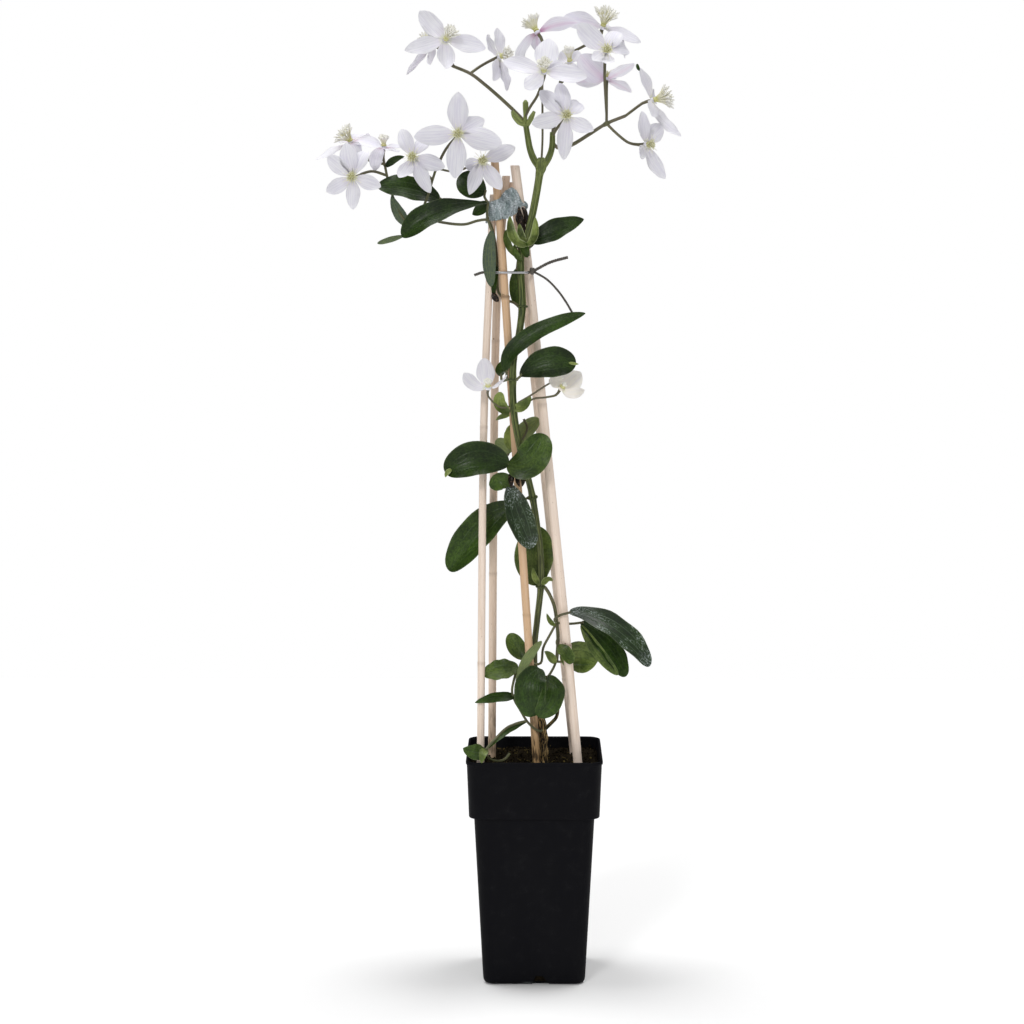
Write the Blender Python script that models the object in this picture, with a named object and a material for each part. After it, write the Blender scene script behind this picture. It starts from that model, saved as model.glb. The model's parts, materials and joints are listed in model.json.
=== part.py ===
"""A clematis in flower, tied to five bamboo canes in a square black nursery pot.

Lengths are in millimetres up to `finish`, which scales each mesh to metres. X runs to the
right of the picture, Y away from the viewer and Z up. The origin is the middle of the pot's
underside. The plant grew by chance, so its stems, leaves and blooms stand in tables of places
read by eye from the picture; what follows a rule is worked out in code.
"""

import math

import bmesh
import bpy
from mathutils import Matrix, Vector

MM = 0.001
GAP = 0.3
FLAT_ANGLE = 1.0
PLANT = "clematis"

# The pot: a square tapered body under a deeper, wider collar
POT_HEIGHT = 186.0
RIM_HALF = 55.0
BASE_HALF = 41.5
NECK_HALF = 48.5
COLLAR_FOOT_HALF = 52.6
COLLAR_FOOT = 139.0
WALL = 1.5
FLOOR = 2.4
CORNER_SHARE = 0.19
NOTCH_WIDTH = 12.0
NOTCH_TOP_WIDTH = 9.0
NOTCH_HEIGHT = 7.0
NOTCH_DEPTH = 6.0
SLIT_OFFSET = 10.0
SLIT_WIDTH = 1.6
SLIT_HEIGHT = 5.0
SOIL_TOP = 177.0

# Each cane: its axis from the soil to the top, radius, buried length and heights of its joints
CANES = {
    "cane_front_left": (
        [(-43.5, -30, 177), (-41, -18, 441), (-36, -8, 575), (-33, -4, 637)], 3.0, 32, (262, 452)),
    "cane_back_left": (
        [(-35, 14, 177), (-33, 9, 439), (-30, 6, 565), (-23, 4, 652)], 3.2, 80, (330, 520)),
    "cane_centre": (
        [(2, -18, 177), (-10, -17, 354), (-25, -15, 575), (-32, -10, 663)], 3.2, 80, (300, 556)),
    "cane_right": (
        [(35.5, -28, 177), (24, -20, 296), (9, -14, 441), (-5, -2, 575), (-16, -3, 660)],
        3.7, 52, (276, 470)),
    "cane_back_right": (
        [(33, 28, 177), (-9, 8, 573), (-18, 8, 647)], 3.5, 52, (240, 430)),
}
CANE_SIDES = 8
CANE_RING = 0.5

# The wire tie: a ring, and loose ends as (points, radius); the tape higher up
TIE_HEIGHT = 575.0
TIE_WIRE = 1.0
TIE_ENDS = [
    ([(-5.5, -12.8, 575), (-1.5, -12.5, 576), (12, -13, 583), (26, -14, 587)], 1.7),
    ([(-1.5, -12.5, 576), (3, -14, 575), (16, -15, 568), (26, -15, 556), (30, -15, 543)], 1.2),
    ([(-36, -12.6, 575), (-42, -13.6, 575), (-48, -13, 573)], 1.5),
]
TAPE_BOTTOM = 619.0
TAPE_TOP = 638.0
TAPE_RISE = 0.25
TAPE_MIDDLE = -24.0
TAPE_THICKNESS = 0.7
BELT_SLACK = 0.3

WOODY_BASE = [(8, -8, 152), (7, -8, 176), (7, -8, 190), (6.5, -7.5, 203), (5.5, -6, 212)]
WOODY_RADII = [2.6, 3.9, 3.6, 3.8, 3.0]
WOODY_LOOP = [(8, -9, 204), (14, -10, 210), (18, -10, 215), (19, -12, 224), (16, -12, 233), (12, -12, 239)]

MAIN_STEM = [
    (5, -5.4, 213), (1, 0, 235), (0, 2, 269), (2, 0, 291), (5, -4, 320), (5, -7, 347),
    (2, -12, 372), (-2, -18, 397), (-7, -24, 418), (-13, -27, 442), (-17, -26, 470),
    (-17, -24.5, 504), (-13, -20, 523), (-10, -15, 548), (-11, -13.5, 572), (-11, -14, 591),
    (-7, -14, 602), (-2, -13, 621), (2, -12, 642), (5, -12, 662),
]
STEM_FOOT_RADIUS = 2.3
STEM_TOP_RADIUS = 2.9
STALK_RADIUS = 1.0
STALK_SIDES = 5
FLOWER_STALK_SIDES = 4
STALK_SPACING = 24
COLLAR_STEPS = 9
COLLAR_THICKNESS = 0.9

# Blooms: centre, azimuth and elevation of the face, and petals as
# (angle in the picture, length in the picture, reach to the back, width)
BLOOMS = {
    "crown_left": ((-70, -38, 756), 15, 20, [
        (133, 30, 3, 16), (197, 33, -10, 14), (-88, 24, -14, 15), (-9, 32, 5, 16), (62, 16, 12, 12)]),
    "crown_left_back": ((-82, -6, 755), -125, 25, [
        (229, 32, -3, 15), (-100, 19, 22, 14), (20, 18, 22, 14), (120, 12, 14, 13)]),
    "crown_left_side": ((-28, -22, 744), 55, 15, [
        (94, 23.5, 9, 15), (124, 20, -18, 12), (256, 20, -18, 15), (-74, 27, -3, 15), (10, 16, 23, 14)]),
    "crown_up_left": ((2, 14, 766), -123, 56, [
        (13, 32, -2, 15), (236, 27.5, 8, 15), (214, 15, 23, 13), (-85, 14, 19, 13)]),
    "crown_front": ((7, -42, 731), 0, 30, [
        (82, 27.5, 15, 19), (164, 33, 5, 15), (223, 20, -16, 14), (-8, 34, -3, 16), (25, 16, 16, 14)]),
    "crown_inner": ((28, -2, 741), -20, 60, [
        (60, 12, 6, 12), (5, 10, 8, 11), (-85, 15, -12, 12), (200, 18, -10, 12), (130, 12, 3, 12)]),
    "crown_top": ((54, 16, 770), 36, 62, [
        (169, 31, 14, 15), (-21, 32, 7, 15), (-36, 24, 22, 14), (-55, 29, 8, 15), (100, 4, 26, 13)]),
    "crown_right_front": ((56, -26, 748), 6, 20, [
        (138, 31, 3, 18), (60, 20, 14, 14), (5, 16, 18, 14), (215, 24, -8, 15), (285, 18, -18, 14)]),
    "crown_right_low": ((57, 2, 728), 180, 60, [
        (140, 26, -15, 16), (27, 24, -18, 15), (-23, 21, 18, 14), (180, 22, 17, 14)]),
    "crown_far_right": ((93, -6, 711), 80, 15, [
        (114, 28, -10, 15), (260, 12, -26, 16), (-47, 36, 4, 16), (60, 8, 26, 14)]),
    "crown_far_right_low": ((88, -18, 676), 50, 0, [
        (99, 26, -6, 13), (51, 17, 18, 14), (-60, 30, 12, 13), (-30, 9, 22, 12), (233, 12, -20, 13)]),
    "crown_middle": ((24, -36, 697), 10, 15, [
        (136, 28, 6, 14), (100, 27.5, 9, 13), (45, 15, 18, 14), (-27, 23, -14, 13), (-93, 34, -4, 13),
        (194, 27.5, -8, 14)]),
    "side_large": ((-60, -46, 683), 0, 3, [
        (90, 33, 4, 17), (184, 34, -3, 16), (266, 34, -4, 16), (348, 35, 2, 18), (32, 22, 14, 14)]),
    "side_right": ((-42, -28, 663), 10, 0, [
        (22, 29, 7, 13), (-56, 28, -4, 12.5), (251, 27.5, -8, 12), (200, 14, 3, 11)]),
    "side_centre": ((-96, -26, 666), -10, 0, [
        (114, 24, 8, 12.5), (52, 18, 13, 11), (-18, 26, -6, 13), (-65, 31, -4, 12.5), (238, 20, -14, 12)]),
    "side_far_left": ((-143, -40, 650), -5, 0, [
        (141, 26, 6, 13), (102, 27, 4, 14), (63, 25, 8, 11), (-20, 23.5, -9, 12), (-88, 25, -8, 12),
        (211, 24, -9, 12)]),
    "side_far_left_back": ((-146, -12, 678), -40, 55, [
        (-10, 25, -12, 14), (209, 31.6, -5, 14), (-60, 15, -13, 12), (150, 13, 19, 13), (30, 14, 20, 13)]),
    "side_upright": ((-121, 0, 674), 15, 80, [
        (250, 19.5, -12, 12), (-18, 13, -19, 12), (170, 16, 14, 12), (5, 18, 14, 12)]),
    "stem_left": ((-37, -34, 484), 0, 60, [
        (149, 23.5, -6, 13), (98, 23.5, 11, 16), (37, 18, -6, 12)]),
    "stem_right": ((21, -24, 483), 50, 45, [
        (24, 17, 7, 16), (-14, 19, -10, 15), (100, 12, 9, 14), (168, 9, -8, 12)]),
}
PETAL_THICKNESS = 0.7
PETAL_STATIONS = (0.0, 0.26, 0.56, 0.82, 1.0)
PETAL_WIDTHS = (0.17, 0.66, 1.0, 0.80, 0.12)
PETAL_ROOT = 1.6
PETAL_PULL = 0.55
RECEPTACLE_RADIUS = 2.6
RECEPTACLE_HALF = 1.5
STAMENS = 6
STAMEN_LENGTH = 9.0
STAMEN_RADII = (0.35, 0.65)
STAMEN_TURN = 2.4
STAMEN_SPREAD = (6, 50)
TUFT_RADII = (2.2, 1.6)
TUFT_HEIGHT = 2.4
FLOWER_STALK_RADIUS = 0.9

LEAF_THICKNESS = 0.8
LEAF_STATIONS = (0.0, 0.16, 0.44, 0.72, 0.91, 1.0)
LEAF_CUP = 0.12
SMALL_LEAF = 10.0
BLUNT = (0.14, 0.74, 1.0, 0.94, 0.60, 0.16)
POINTED = (0.14, 0.78, 1.0, 0.72, 0.34, 0.08)
ROUND = (0.20, 0.84, 1.0, 0.94, 0.66, 0.30)

# Shoots: joint height on the main stem or None, stalks, and leaves as
# (base, pull point, tip, width, facing, outline); a stalk that starts with a number leaves
# the joint's collar at that azimuth
TO_VIEWER = (0, -1, 0.2)
SHOOTS = {
    "low_shoot": (321, [
        [-30, (12, -6, 315), (16, -6, 305), (18, -8, 292), (19, -8, 278), (18, -8, 260)],
        [(18, -8, 292), (12, -8, 281), (7, -8, 271), (5, -5, 258), (-4, -2.5, 258.5), (-7, 1.5, 262)],
        [(18, -8, 292), (16.3, -17, 296), (21, -26.5, 301), (32, -25, 305)],
        [(18, -8, 292), (29, -7, 291), (40, -6, 294)],
        [(18, -8, 261), (15, -15, 255), (10, -24, 250), (4, -29, 255)],
        [(18, -8, 260), (20, -4, 259)],
        [100, (4, 3.5, 324)],
    ], [
        ((31, -25, 305), (59, -30, 316), (97, -26, 264), 26, (0.2, -0.6, 0.75), BLUNT),
        ((39, -6, 294), (58, -8, 286), (74, -10, 250), 22, (0.2, -0.8, 0.5), BLUNT),
        ((19, -4, 259), (36, 0, 270), (51, 2, 261), 28, (0, -0.95, 0.3), ROUND),
        ((17, -11, 259), (12, -13, 268), (8, -13, 269), 7, TO_VIEWER, POINTED),
        ((4, -29, 256), (-3, -47, 240), (-5, -38, 216), 25, (-0.2, -0.95, 0.2), ROUND),
        ((10, -23.7, 250), (20, -24, 237), (10, -18, 219), 19, (0.3, -0.9, 0.1), ROUND),
        ((-6.5, 1, 261.3), (-14, 5, 268), (-20, 6, 280), 14, TO_VIEWER, BLUNT),
        ((4, 2.5, 322), (-6, 7, 343), (5, 4, 369), 32, (0, -1, 0.1), ROUND),
    ]),
    "low_left_shoot": (None, [
        [(6, -12.9, 204), (4.5, -20.5, 205), (0, -25, 208), (-6, -25, 214), (-12, -24, 224),
         (-16, -24, 231), (-22, -26, 240), (-27.5, -24.3, 257)],
        [(-6, -25, 214), (-21, -34, 211), (-32, -42, 202), (-39, -47, 195)],
        [(-38.3, -46.2, 195.6), (-37, -44, 188), (-30, -38, 184), (-24, -32, 184), (-20, -28, 188)],
    ], [
        ((-15, -21, 257), (-27, -27, 259), (-39, -25, 256), 16, (0, -0.8, 0.6), BLUNT),
        ((-14, -24, 230), (-28, -34, 239), (-46, -34, 228), 12, (0, -0.7, 0.7), POINTED),
        ((-12, -23.5, 225), (-21, -35.5, 261), (9, -16, 278), 7, (-0.4, -0.9, 0.1), POINTED),
        ((-6, -24, 214), (-22, -37, 214), (-37, -46, 197), 7, (0, -0.6, 0.8), POINTED),
        ((-38.2, -46.6, 195.2), (-48, -53, 206), (-58, -52, 197), 15, (-0.2, -0.8, 0.6), BLUNT),
        ((-38.6, -46, 195.8), (-42, -60, 199), (-44, -60, 184), 9, (0, -0.8, 0.6), POINTED),
    ]),
    "frond_mid_left": (395, [
        [120, (-7, -9, 393), (-17, -6, 387)],
    ], [
        ((-16, -6, 387), (-39, -2, 381), (-69, -8, 334), 28, (-0.1, -1, 0.2), BLUNT),
    ]),
    "frond_middle": (416, [
        [220, (-15, -31, 417), (-21, -31, 424), (-25, -31, 424)],
        [(-15, -31, 417), (-18, -30, 411), (-24, -29, 406)],
        [(-21, -31, 424), (-23, -18, 427), (-21.5, -8, 429), (-19, -6, 434)],
    ], [
        ((-24, -31, 423), (-45, -36, 437), (-71, -36, 415), 30, (0, -1, 0.3), BLUNT),
        ((-21, -31, 424), (-2, -42, 414), (9, -36, 446), 28, (0.1, -1, 0.1), ROUND),
        ((-22, -9, 429), (-27, -4, 435), (-31, -3, 441), 13, (0, -1, 0), ROUND),
        ((-20, -6.5, 434), (-17, 1, 458), (3, 0, 456), 17, (0, -1, 0), POINTED),
        ((-24, -29, 406), (-23, -38, 383), (-3, -31, 356), 21, (0.3, -1, 0.2), BLUNT),
        ((-22, -30, 407), (-29, -32, 413), (-33, -30, 401), 11, TO_VIEWER, ROUND),
    ]),
    "frond_upper": (490, [
        [200, (-22.3, -27, 493), (-22.5, -27, 498)],
        [310, (-11, -28.8, 493.5), (-10, -29, 495)],
        [170, (-26, -19, 489), (-27, -6, 493)],
    ], [
        ((-22.5, -27, 497), (-34, -31, 527), (40, -28, 544), 15, (0, -1, 0.3), POINTED),
        ((-12, -28.5, 493), (6, -36, 514), (33, -32, 505), 22, (0, -1, 0.3), BLUNT),
        ((-27, -7, 492), (-28, -2, 496), (-26, 0, 504), 9, (0, -1, 0), POINTED),
    ]),
    "frond_crown": (594, [
        [300, (-4, -18, 595), (-1, -17, 598)],
        [110, (-13, -7, 588), (-14.5, -3, 577)],
    ], [
        ((-2, -17, 597), (20, -17, 613), (39, -10, 617), 16, (0, -1, 0.5), POINTED),
        ((-14.5, -3, 578), (-17, 1, 566), (-14, 1, 548), 10, (0, -1, 0), BLUNT),
    ]),
    "left_spray": (548, [
        [130, (-17, -5, 551), (-23, -4, 553), (-29, -6, 559), (-30, -7, 569),
         (-30, -8, 581), (-31, -10, 594), (-33, -13, 606), (-37, -16, 616), (-45, -19, 616),
         (-56, -23, 613), (-70, -25, 614), (-81, -24, 617), (-89, -22, 625)],
        [(-89, -22, 625), (-85, -22, 635), (-81, -22, 648), (-78, -24, 657)],
        [(-81, -24, 617), (-91, -22, 612), (-99, -19, 612), (-107, -18, 622), (-114, -15, 638),
         (-118, -8, 652), (-120, -3, 661)],
        [(-37, -16, 616), (-38, -20, 622), (-37, -22, 630)],
        [(-37, -22, 630), (-40, -19, 635), (-39, -17, 640)],
        [(-81, -24, 617), (-77, -18, 627), (-75, -14, 634)],
        [(-99, -19, 612), (-102, -22, 607), (-105, -24, 604)],
        [(-37, -16, 616), (-38, -19, 614)],
    ], [
        ((-37, -22, 629), (-76, -36, 641), (-105, -33, 603), 21, (0, -0.85, 0.5), POINTED),
        ((-75, -14, 633), (-98, -16, 648), (-125, -16, 643), 16, (0, -0.8, 0.6), POINTED),
        ((-39, -17, 639), (-49, -16, 642), (-60, -14, 652), 21, (-0.2, -1, 0.1), BLUNT),
        ((-38, -21, 631), (-42, -19, 625), (-48, -17, 621), 6, TO_VIEWER, POINTED),
        ((-100, -18.5, 612), (-110, -18, 622), (-114, -18, 636), 7, (-0.6, -1, 0), POINTED),
        ((-104, -23.5, 604), (-113, -24, 602), (-125, -22, 598), 5, TO_VIEWER, POINTED),
        ((-119, -4, 659), (-112, -7, 666), (-104, -7, 667), 5, TO_VIEWER, POINTED),
        ((-37, -18, 614), (-46, -24, 592), (-32, -23, 560), 13, (-0.2, -1, 0), BLUNT),
    ]),
}

# Flower stalks: the node each belongs to, its first points, and the bloom that it ends at
FLOWER_STALKS = [
    ("main_stem", [(-64, -24, 736.6)], "crown_left"),
    ("main_stem", [(-65, -24, 737), (-73, -18, 742)], "crown_left_back"),
    ("main_stem", [(-51, -25, 731), (-43, -20, 737)], "crown_left_side"),
    ("main_stem", [(-9, -13, 695), (-4, -18, 705), (2, -25, 714)], "crown_front"),
    ("main_stem", [(5, -12, 660), (6, -4, 680), (6, 2, 703), (6, 8, 728), (7, 11, 747)], "crown_up_left"),
    ("main_stem", [(14, -10, 683), (17, -17, 688)], "crown_middle"),
    ("main_stem", [(20, 8, 725)], "crown_inner"),
    ("main_stem", [(32, 18, 752), (42, 15, 757)], "crown_top"),
    ("main_stem", [(57, -5, 693), (57, -5, 706)], "crown_right_low"),
    ("main_stem", [(57, -5, 701), (56, -14, 712), (55, -19, 728)], "crown_right_front"),
    ("main_stem", [(72, -6, 699)], "crown_far_right"),
    ("main_stem", [(57, -5, 693), (65, -8, 685), (74, -9, 678)], "crown_far_right_low"),
    ("main_stem", [(-18, -26, 470), (-24, -30, 468), (-30, -33, 470)], "stem_left"),
    ("main_stem", [(-17, -26, 468), (-10, -29, 470), (-1, -29, 475), (8, -26, 476)], "stem_right"),
    ("left_spray", [(-78, -24, 657), (-70, -30, 672)], "side_large"),
    ("left_spray", [(-78, -24, 657), (-62, -19, 655)], "side_right"),
    ("left_spray", [(-81, -22, 648), (-91, -14, 658)], "side_centre"),
    ("left_spray", [(-118, -8, 652), (-130, -16, 655)], "side_far_left"),
    ("left_spray", [(-120, -3, 661), (-132, -2, 664)], "side_far_left_back"),
    ("left_spray", [(-120, -3, 660)], "side_upright"),
]

# The crown: branches that divide at the top of the main stem, with their radii; and the bracts
CROWN_BRANCHES = [
    ([(5, -12, 660), (-1, -12, 666), (-4, -12, 673), (-6, -12, 684), (-9, -13, 696)], 2.0),
    ([(-9, -13, 695), (-17, -15, 703), (-28, -18, 713), (-40, -22, 723), (-51, -25, 731),
      (-65, -24, 737)], (1.3, 1.0)),
    ([(5, -12, 660), (10, -11, 666), (14, -10, 674), (14, -10, 684)], 1.9),
    ([(14, -10, 678), (18, -8, 674), (29, -6, 676), (44, -5, 685), (57, -5, 693),
      (72, -6, 699)], (1.4, 1.0)),
    ([(14, -10, 683), (17, 2, 704), (20, 9, 725), (25, 15, 742), (32, 18, 752)], (1.3, 1.0)),
]
BUD = [(-9, -13, 695), (-10, -14, 700), (-10, -14.5, 704), (-10, -15, 708), (-10, -15, 710)]
BUD_RADII = [0.8, 1.6, 2.4, 1.6, 0.5]
BRACTS = [
    ((-17, -27, 468), (-26, -30, 474), (-31, -28, 480), 8, TO_VIEWER, POINTED),
    ((-17, -27, 470), (-6, -31, 474), (1, -32, 482), 8, TO_VIEWER, POINTED),
    ((-17, -27, 467), (-22, -29, 464), (-30, -30, 458), 8, TO_VIEWER, POINTED),
    ((-7, -15, 600), (-22, -22, 599), (-21, -20, 621), 9, TO_VIEWER, BLUNT),
    ((-6, -15, 602), (-10, -25, 603), (-7, -21, 618), 9, TO_VIEWER, BLUNT),
    ((-5, -15, 605), (6, -23, 606), (5, -21, 618), 8, TO_VIEWER, BLUNT),
    ((-9, -13, 694), (-12, -17, 690), (-19, -17, 691), 6, TO_VIEWER, POINTED),
    ((56, -5, 692), (50, -9, 684), (42, -9, 680), 5, TO_VIEWER, POINTED),
    ((31, -6, 677), (33, -10, 671), (33, -10, 664), 6, TO_VIEWER, POINTED),
]

COLOURS = {
    "pot": ((0.012, 0.012, 0.014), 0.45),
    "soil": ((0.045, 0.027, 0.016), 0.95),
    "cane": ((0.62, 0.45, 0.32), 0.6),
    "wire": ((0.20, 0.17, 0.16), 0.35),
    "tape": ((0.45, 0.58, 0.56), 0.3),
    "bark": ((0.20, 0.11, 0.05), 0.85),
    "stem": ((0.13, 0.20, 0.05), 0.5),
    "leaf": ((0.035, 0.10, 0.028), 0.35),
    "petal": ((0.86, 0.82, 0.88), 0.5),
    "stamen": ((0.80, 0.76, 0.35), 0.6),
}


def remove_everything():
    for thing in list(bpy.data.objects):
        bpy.data.objects.remove(thing, do_unlink=True)


def make_parent():
    """The empty under the pot that carries every piece."""
    bpy.context.scene.collection.objects.link(bpy.data.objects.new(PLANT, None))


def make_material(name):
    colour, roughness = COLOURS[name]
    material = bpy.data.materials.new(name)
    material.use_nodes = True
    shader = material.node_tree.nodes["Principled BSDF"]
    shader.inputs["Base Color"].default_value = (*colour, 1)
    shader.inputs["Roughness"].default_value = roughness
    shader.inputs["Metallic"].default_value = 0
    return material


def loft(rings, alike=False, closed=False):
    """A closed mesh through rings of points that turn left about the way they run.

    With `alike`, the six-point rings of a blade are split on the same diagonal on both faces.
    With `closed`, the last ring joins the first and there are no caps.
    """
    shape = bmesh.new()
    loops = [[shape.verts.new(point) for point in ring] for ring in rings]
    pairs = list(zip(loops, loops[1:]))
    if closed:
        pairs.append((loops[-1], loops[0]))
    for low, high in pairs:
        for k in range(len(low)):
            a, b, c, d = low[k], low[(k + 1) % len(low)], high[(k + 1) % len(low)], high[k]
            if alike and k in (3, 4):
                shape.faces.new((a, b, d))
                shape.faces.new((b, c, d))
            else:
                shape.faces.new((a, b, c))
                shape.faces.new((a, c, d))
    if not closed:
        shape.faces.new(reversed(loops[0]))
        shape.faces.new(loops[-1])
    return shape


def smooth(points, spacing):
    """Points along a rounded curve through the given ones."""
    knots = [Vector(point) for point in points]
    ends = [2 * knots[0] - knots[1], *knots, 2 * knots[-1] - knots[-2]]
    line = []
    for a, b, c, d in zip(ends, ends[1:], ends[2:], ends[3:]):
        count = max(1, round((c - b).length / spacing))
        for i in range(count):
            t = i / count
            line.append(
                b + 0.5 * t * (c - a) + t * t * (a - 2.5 * b + 2 * c - 0.5 * d)
                + 0.5 * t ** 3 * (3 * b - a - 3 * c + d))
    return [*line, knots[-1]]


def tube(line, radii, sides, closed=False):
    """A round bar along a line; `radii` holds one radius, both ends' radii or one for each point."""
    line = [Vector(point) for point in line]
    count = len(line)
    if isinstance(radii, (int, float)):
        radii = [radii] * count
    elif len(radii) == 2:
        radii = [radii[0] + (radii[1] - radii[0]) * i / (count - 1) for i in range(count)]
    rings = []
    across = None
    for i, point in enumerate(line):
        if closed:
            along = (line[(i + 1) % count] - line[i - 1]).normalized()
        else:
            along = (line[min(i + 1, count - 1)] - line[max(i - 1, 0)]).normalized()
        across = along.orthogonal() if across is None else across
        across = (across - along * across.dot(along)).normalized()
        side = along.cross(across)
        rings.append([
            point + radii[i] * (math.cos(turn) * across + math.sin(turn) * side)
            for turn in (2 * math.pi * k / sides for k in range(sides))])
    return loft(rings, closed=closed)


def blade(line, widths, facing, thickness, cup):
    """A thin petal or leaf along a line, its edges raised by `cup` times its half width.

    Without a cup it is flat across, with four points a ring instead of six.
    """
    facing = Vector(facing).normalized()
    rings = []
    for i, point in enumerate(line):
        along = (line[min(i + 1, len(line) - 1)] - line[max(i - 1, 0)]).normalized()
        across = along.cross(facing).normalized()
        up = across.cross(along)
        half = widths[i] / 2
        edge = across * half
        lift = up * half * cup
        skin = up * thickness / 2
        top = [point - edge + lift + skin, point + skin, point + edge + lift + skin]
        bottom = [point + edge + lift - skin, point - skin, point - edge + lift - skin]
        rings.append(top + bottom if cup else top[::2] + bottom[::2])
    return loft(rings, alike=bool(cup))


def bent(start, pull, end, stations):
    """Points at the stations of a curve that leaves `start` towards `pull` and comes to `end`."""
    start, pull, end = Vector(start), Vector(pull), Vector(end)
    return [start * (1 - t) ** 2 + pull * 2 * t * (1 - t) + end * t * t for t in stations]


def finish(name, shape, material, place=(0, 0, 0)):
    """Scales the shape to metres and makes it the named object, with its origin at `place`."""
    bmesh.ops.triangulate(shape, faces=shape.faces[:])
    bmesh.ops.translate(shape, vec=-Vector(place), verts=shape.verts[:])
    bmesh.ops.scale(shape, vec=(MM, MM, MM), verts=shape.verts[:])
    mesh = bpy.data.meshes.new(name)
    shape.to_mesh(mesh)
    shape.free()
    mesh.materials.append(material)
    mesh.shade_smooth()
    mesh.set_sharp_from_angle(angle=math.radians(40))
    thing = bpy.data.objects.new(name, mesh)
    thing.location = Vector(place) * MM
    thing.parent = bpy.data.objects[PLANT]
    bpy.context.scene.collection.objects.link(thing)
    return thing


def is_closed(shape):
    return all(edge.is_manifold for edge in shape.edges)


def merge_flat(shape):
    """Joins neighbouring faces that lie in one plane, unless that would open the shape."""
    merged = shape.copy()
    bmesh.ops.dissolve_limit(
        merged, angle_limit=math.radians(FLAT_ANGLE), verts=merged.verts[:], edges=merged.edges[:])
    bmesh.ops.triangulate(merged, faces=merged.faces[:])
    return merged if is_closed(merged) else shape


def evaluated_shape(thing):
    """The thing's mesh with its modifiers applied."""
    evaluated = thing.evaluated_get(bpy.context.evaluated_depsgraph_get())
    shape = bmesh.new()
    shape.from_mesh(evaluated.to_mesh())
    evaluated.to_mesh_clear()
    return shape


def combine(first, others, operation):
    """The first shape with all the others joined to it or cut from it in one Boolean.

    The exact solver leaves a few open edges where two thin blades meet at a very small angle,
    and there the manifold solver takes its place.
    """
    crowd = bpy.data.collections.new("others")
    bpy.context.scene.collection.children.link(crowd)
    things = []
    for shape in [first, *others]:
        mesh = bpy.data.meshes.new("piece")
        shape.to_mesh(mesh)
        shape.free()
        things.append(bpy.data.objects.new("piece", mesh))
    bpy.context.scene.collection.objects.link(things[0])
    for thing in things[1:]:
        crowd.objects.link(thing)
    boolean = things[0].modifiers.new("boolean", "BOOLEAN")
    boolean.operation = operation
    boolean.operand_type = "COLLECTION"
    boolean.collection = crowd
    for solver in ("EXACT", "MANIFOLD"):
        boolean.solver = solver
        result = evaluated_shape(things[0])
        if is_closed(result):
            break
    for thing in things:
        bpy.data.objects.remove(thing, do_unlink=True)
    bpy.data.collections.remove(crowd)
    return merge_flat(result)


def unite(name, pieces, material, place=(0, 0, 0)):
    """Joins pieces that grow into each other and makes them the named object."""
    shape = combine(pieces[0], pieces[1:], "UNION")
    return finish(name, shape, material, place)


def rounded_square(half, z, corner_steps=3, side_steps=1):
    """A square ring with round corners, turning left seen from above."""
    radius = half * CORNER_SHARE
    centre = half - radius
    points = []
    for quarter in range(4):
        turn = Matrix.Rotation(math.pi / 2 * quarter, 3, "Z")
        for k in range(corner_steps + 1):
            angle = math.pi / 2 * k / corner_steps
            corner = Vector((centre + radius * math.cos(angle), centre + radius * math.sin(angle), z))
            points.append(turn @ corner)
        for k in range(1, side_steps):
            along = centre - 2 * centre * k / side_steps
            points.append(turn @ Vector((along, half, z)))
    return points


def pot_inside():
    """Heights and half widths of the pot's inner faces, from the floor up."""
    return [
        (FLOOR, BASE_HALF - WALL - 1.2), (FLOOR + 1.5, BASE_HALF - WALL),
        (COLLAR_FOOT + WALL, NECK_HALF - WALL), (COLLAR_FOOT + WALL + 1.0, COLLAR_FOOT_HALF - WALL),
        (POT_HEIGHT - 1.0, RIM_HALF - WALL - 0.4), (POT_HEIGHT, RIM_HALF - WALL + 0.2)]


def make_pot(material):
    outside = [
        (0, BASE_HALF - 2.2), (0.7, BASE_HALF - 0.7), (2.4, BASE_HALF), (COLLAR_FOOT - 1.0, NECK_HALF),
        (COLLAR_FOOT, NECK_HALF + 0.4), (COLLAR_FOOT, COLLAR_FOOT_HALF - 0.6),
        (COLLAR_FOOT + 1.0, COLLAR_FOOT_HALF), (POT_HEIGHT - 3.4, RIM_HALF - 0.7),
        (POT_HEIGHT - 2.8, RIM_HALF), (POT_HEIGHT - 0.5, RIM_HALF), (POT_HEIGHT, RIM_HALF - 0.5)]
    profile = outside + pot_inside()[::-1]
    body = loft([rounded_square(half, z) for z, half in profile])
    cutters = []
    for quarter in range(4):
        turn = Matrix.Rotation(math.pi / 2 * quarter, 4, "Z")
        for middle, width, top_width, height in (
                (0, NOTCH_WIDTH, NOTCH_TOP_WIDTH, NOTCH_HEIGHT),
                (-SLIT_OFFSET, SLIT_WIDTH, SLIT_WIDTH, SLIT_HEIGHT)):
            front = -BASE_HALF - 1
            back = front + NOTCH_DEPTH
            rings = []
            for half, z in ((width / 2, -1), (top_width / 2, height)):
                rings.append([
                    (middle - half, front, z), (middle + half, front, z),
                    (middle + half, back, z), (middle - half, back, z)])
            cutter = loft(rings)
            cutter.transform(turn)
            cutters.append(cutter)
    return finish("pot", combine(body, cutters, "DIFFERENCE"), material)


def cane_axis(name):
    """Points along a cane from its buried end to its top."""
    points, _, buried, _ = CANES[name]
    line = smooth(points, 120)
    return [line[0] - (line[1] - line[0]).normalized() * buried, *line]


def point_at(line, z):
    """The place and direction of a rising line at a height."""
    for low, high in zip(line, line[1:]):
        if z <= high.z:
            break
    return low.lerp(high, (z - low.z) / (high.z - low.z)), (high - low).normalized()


def cane_at(name, z):
    return point_at(cane_axis(name), z)[0]


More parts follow.
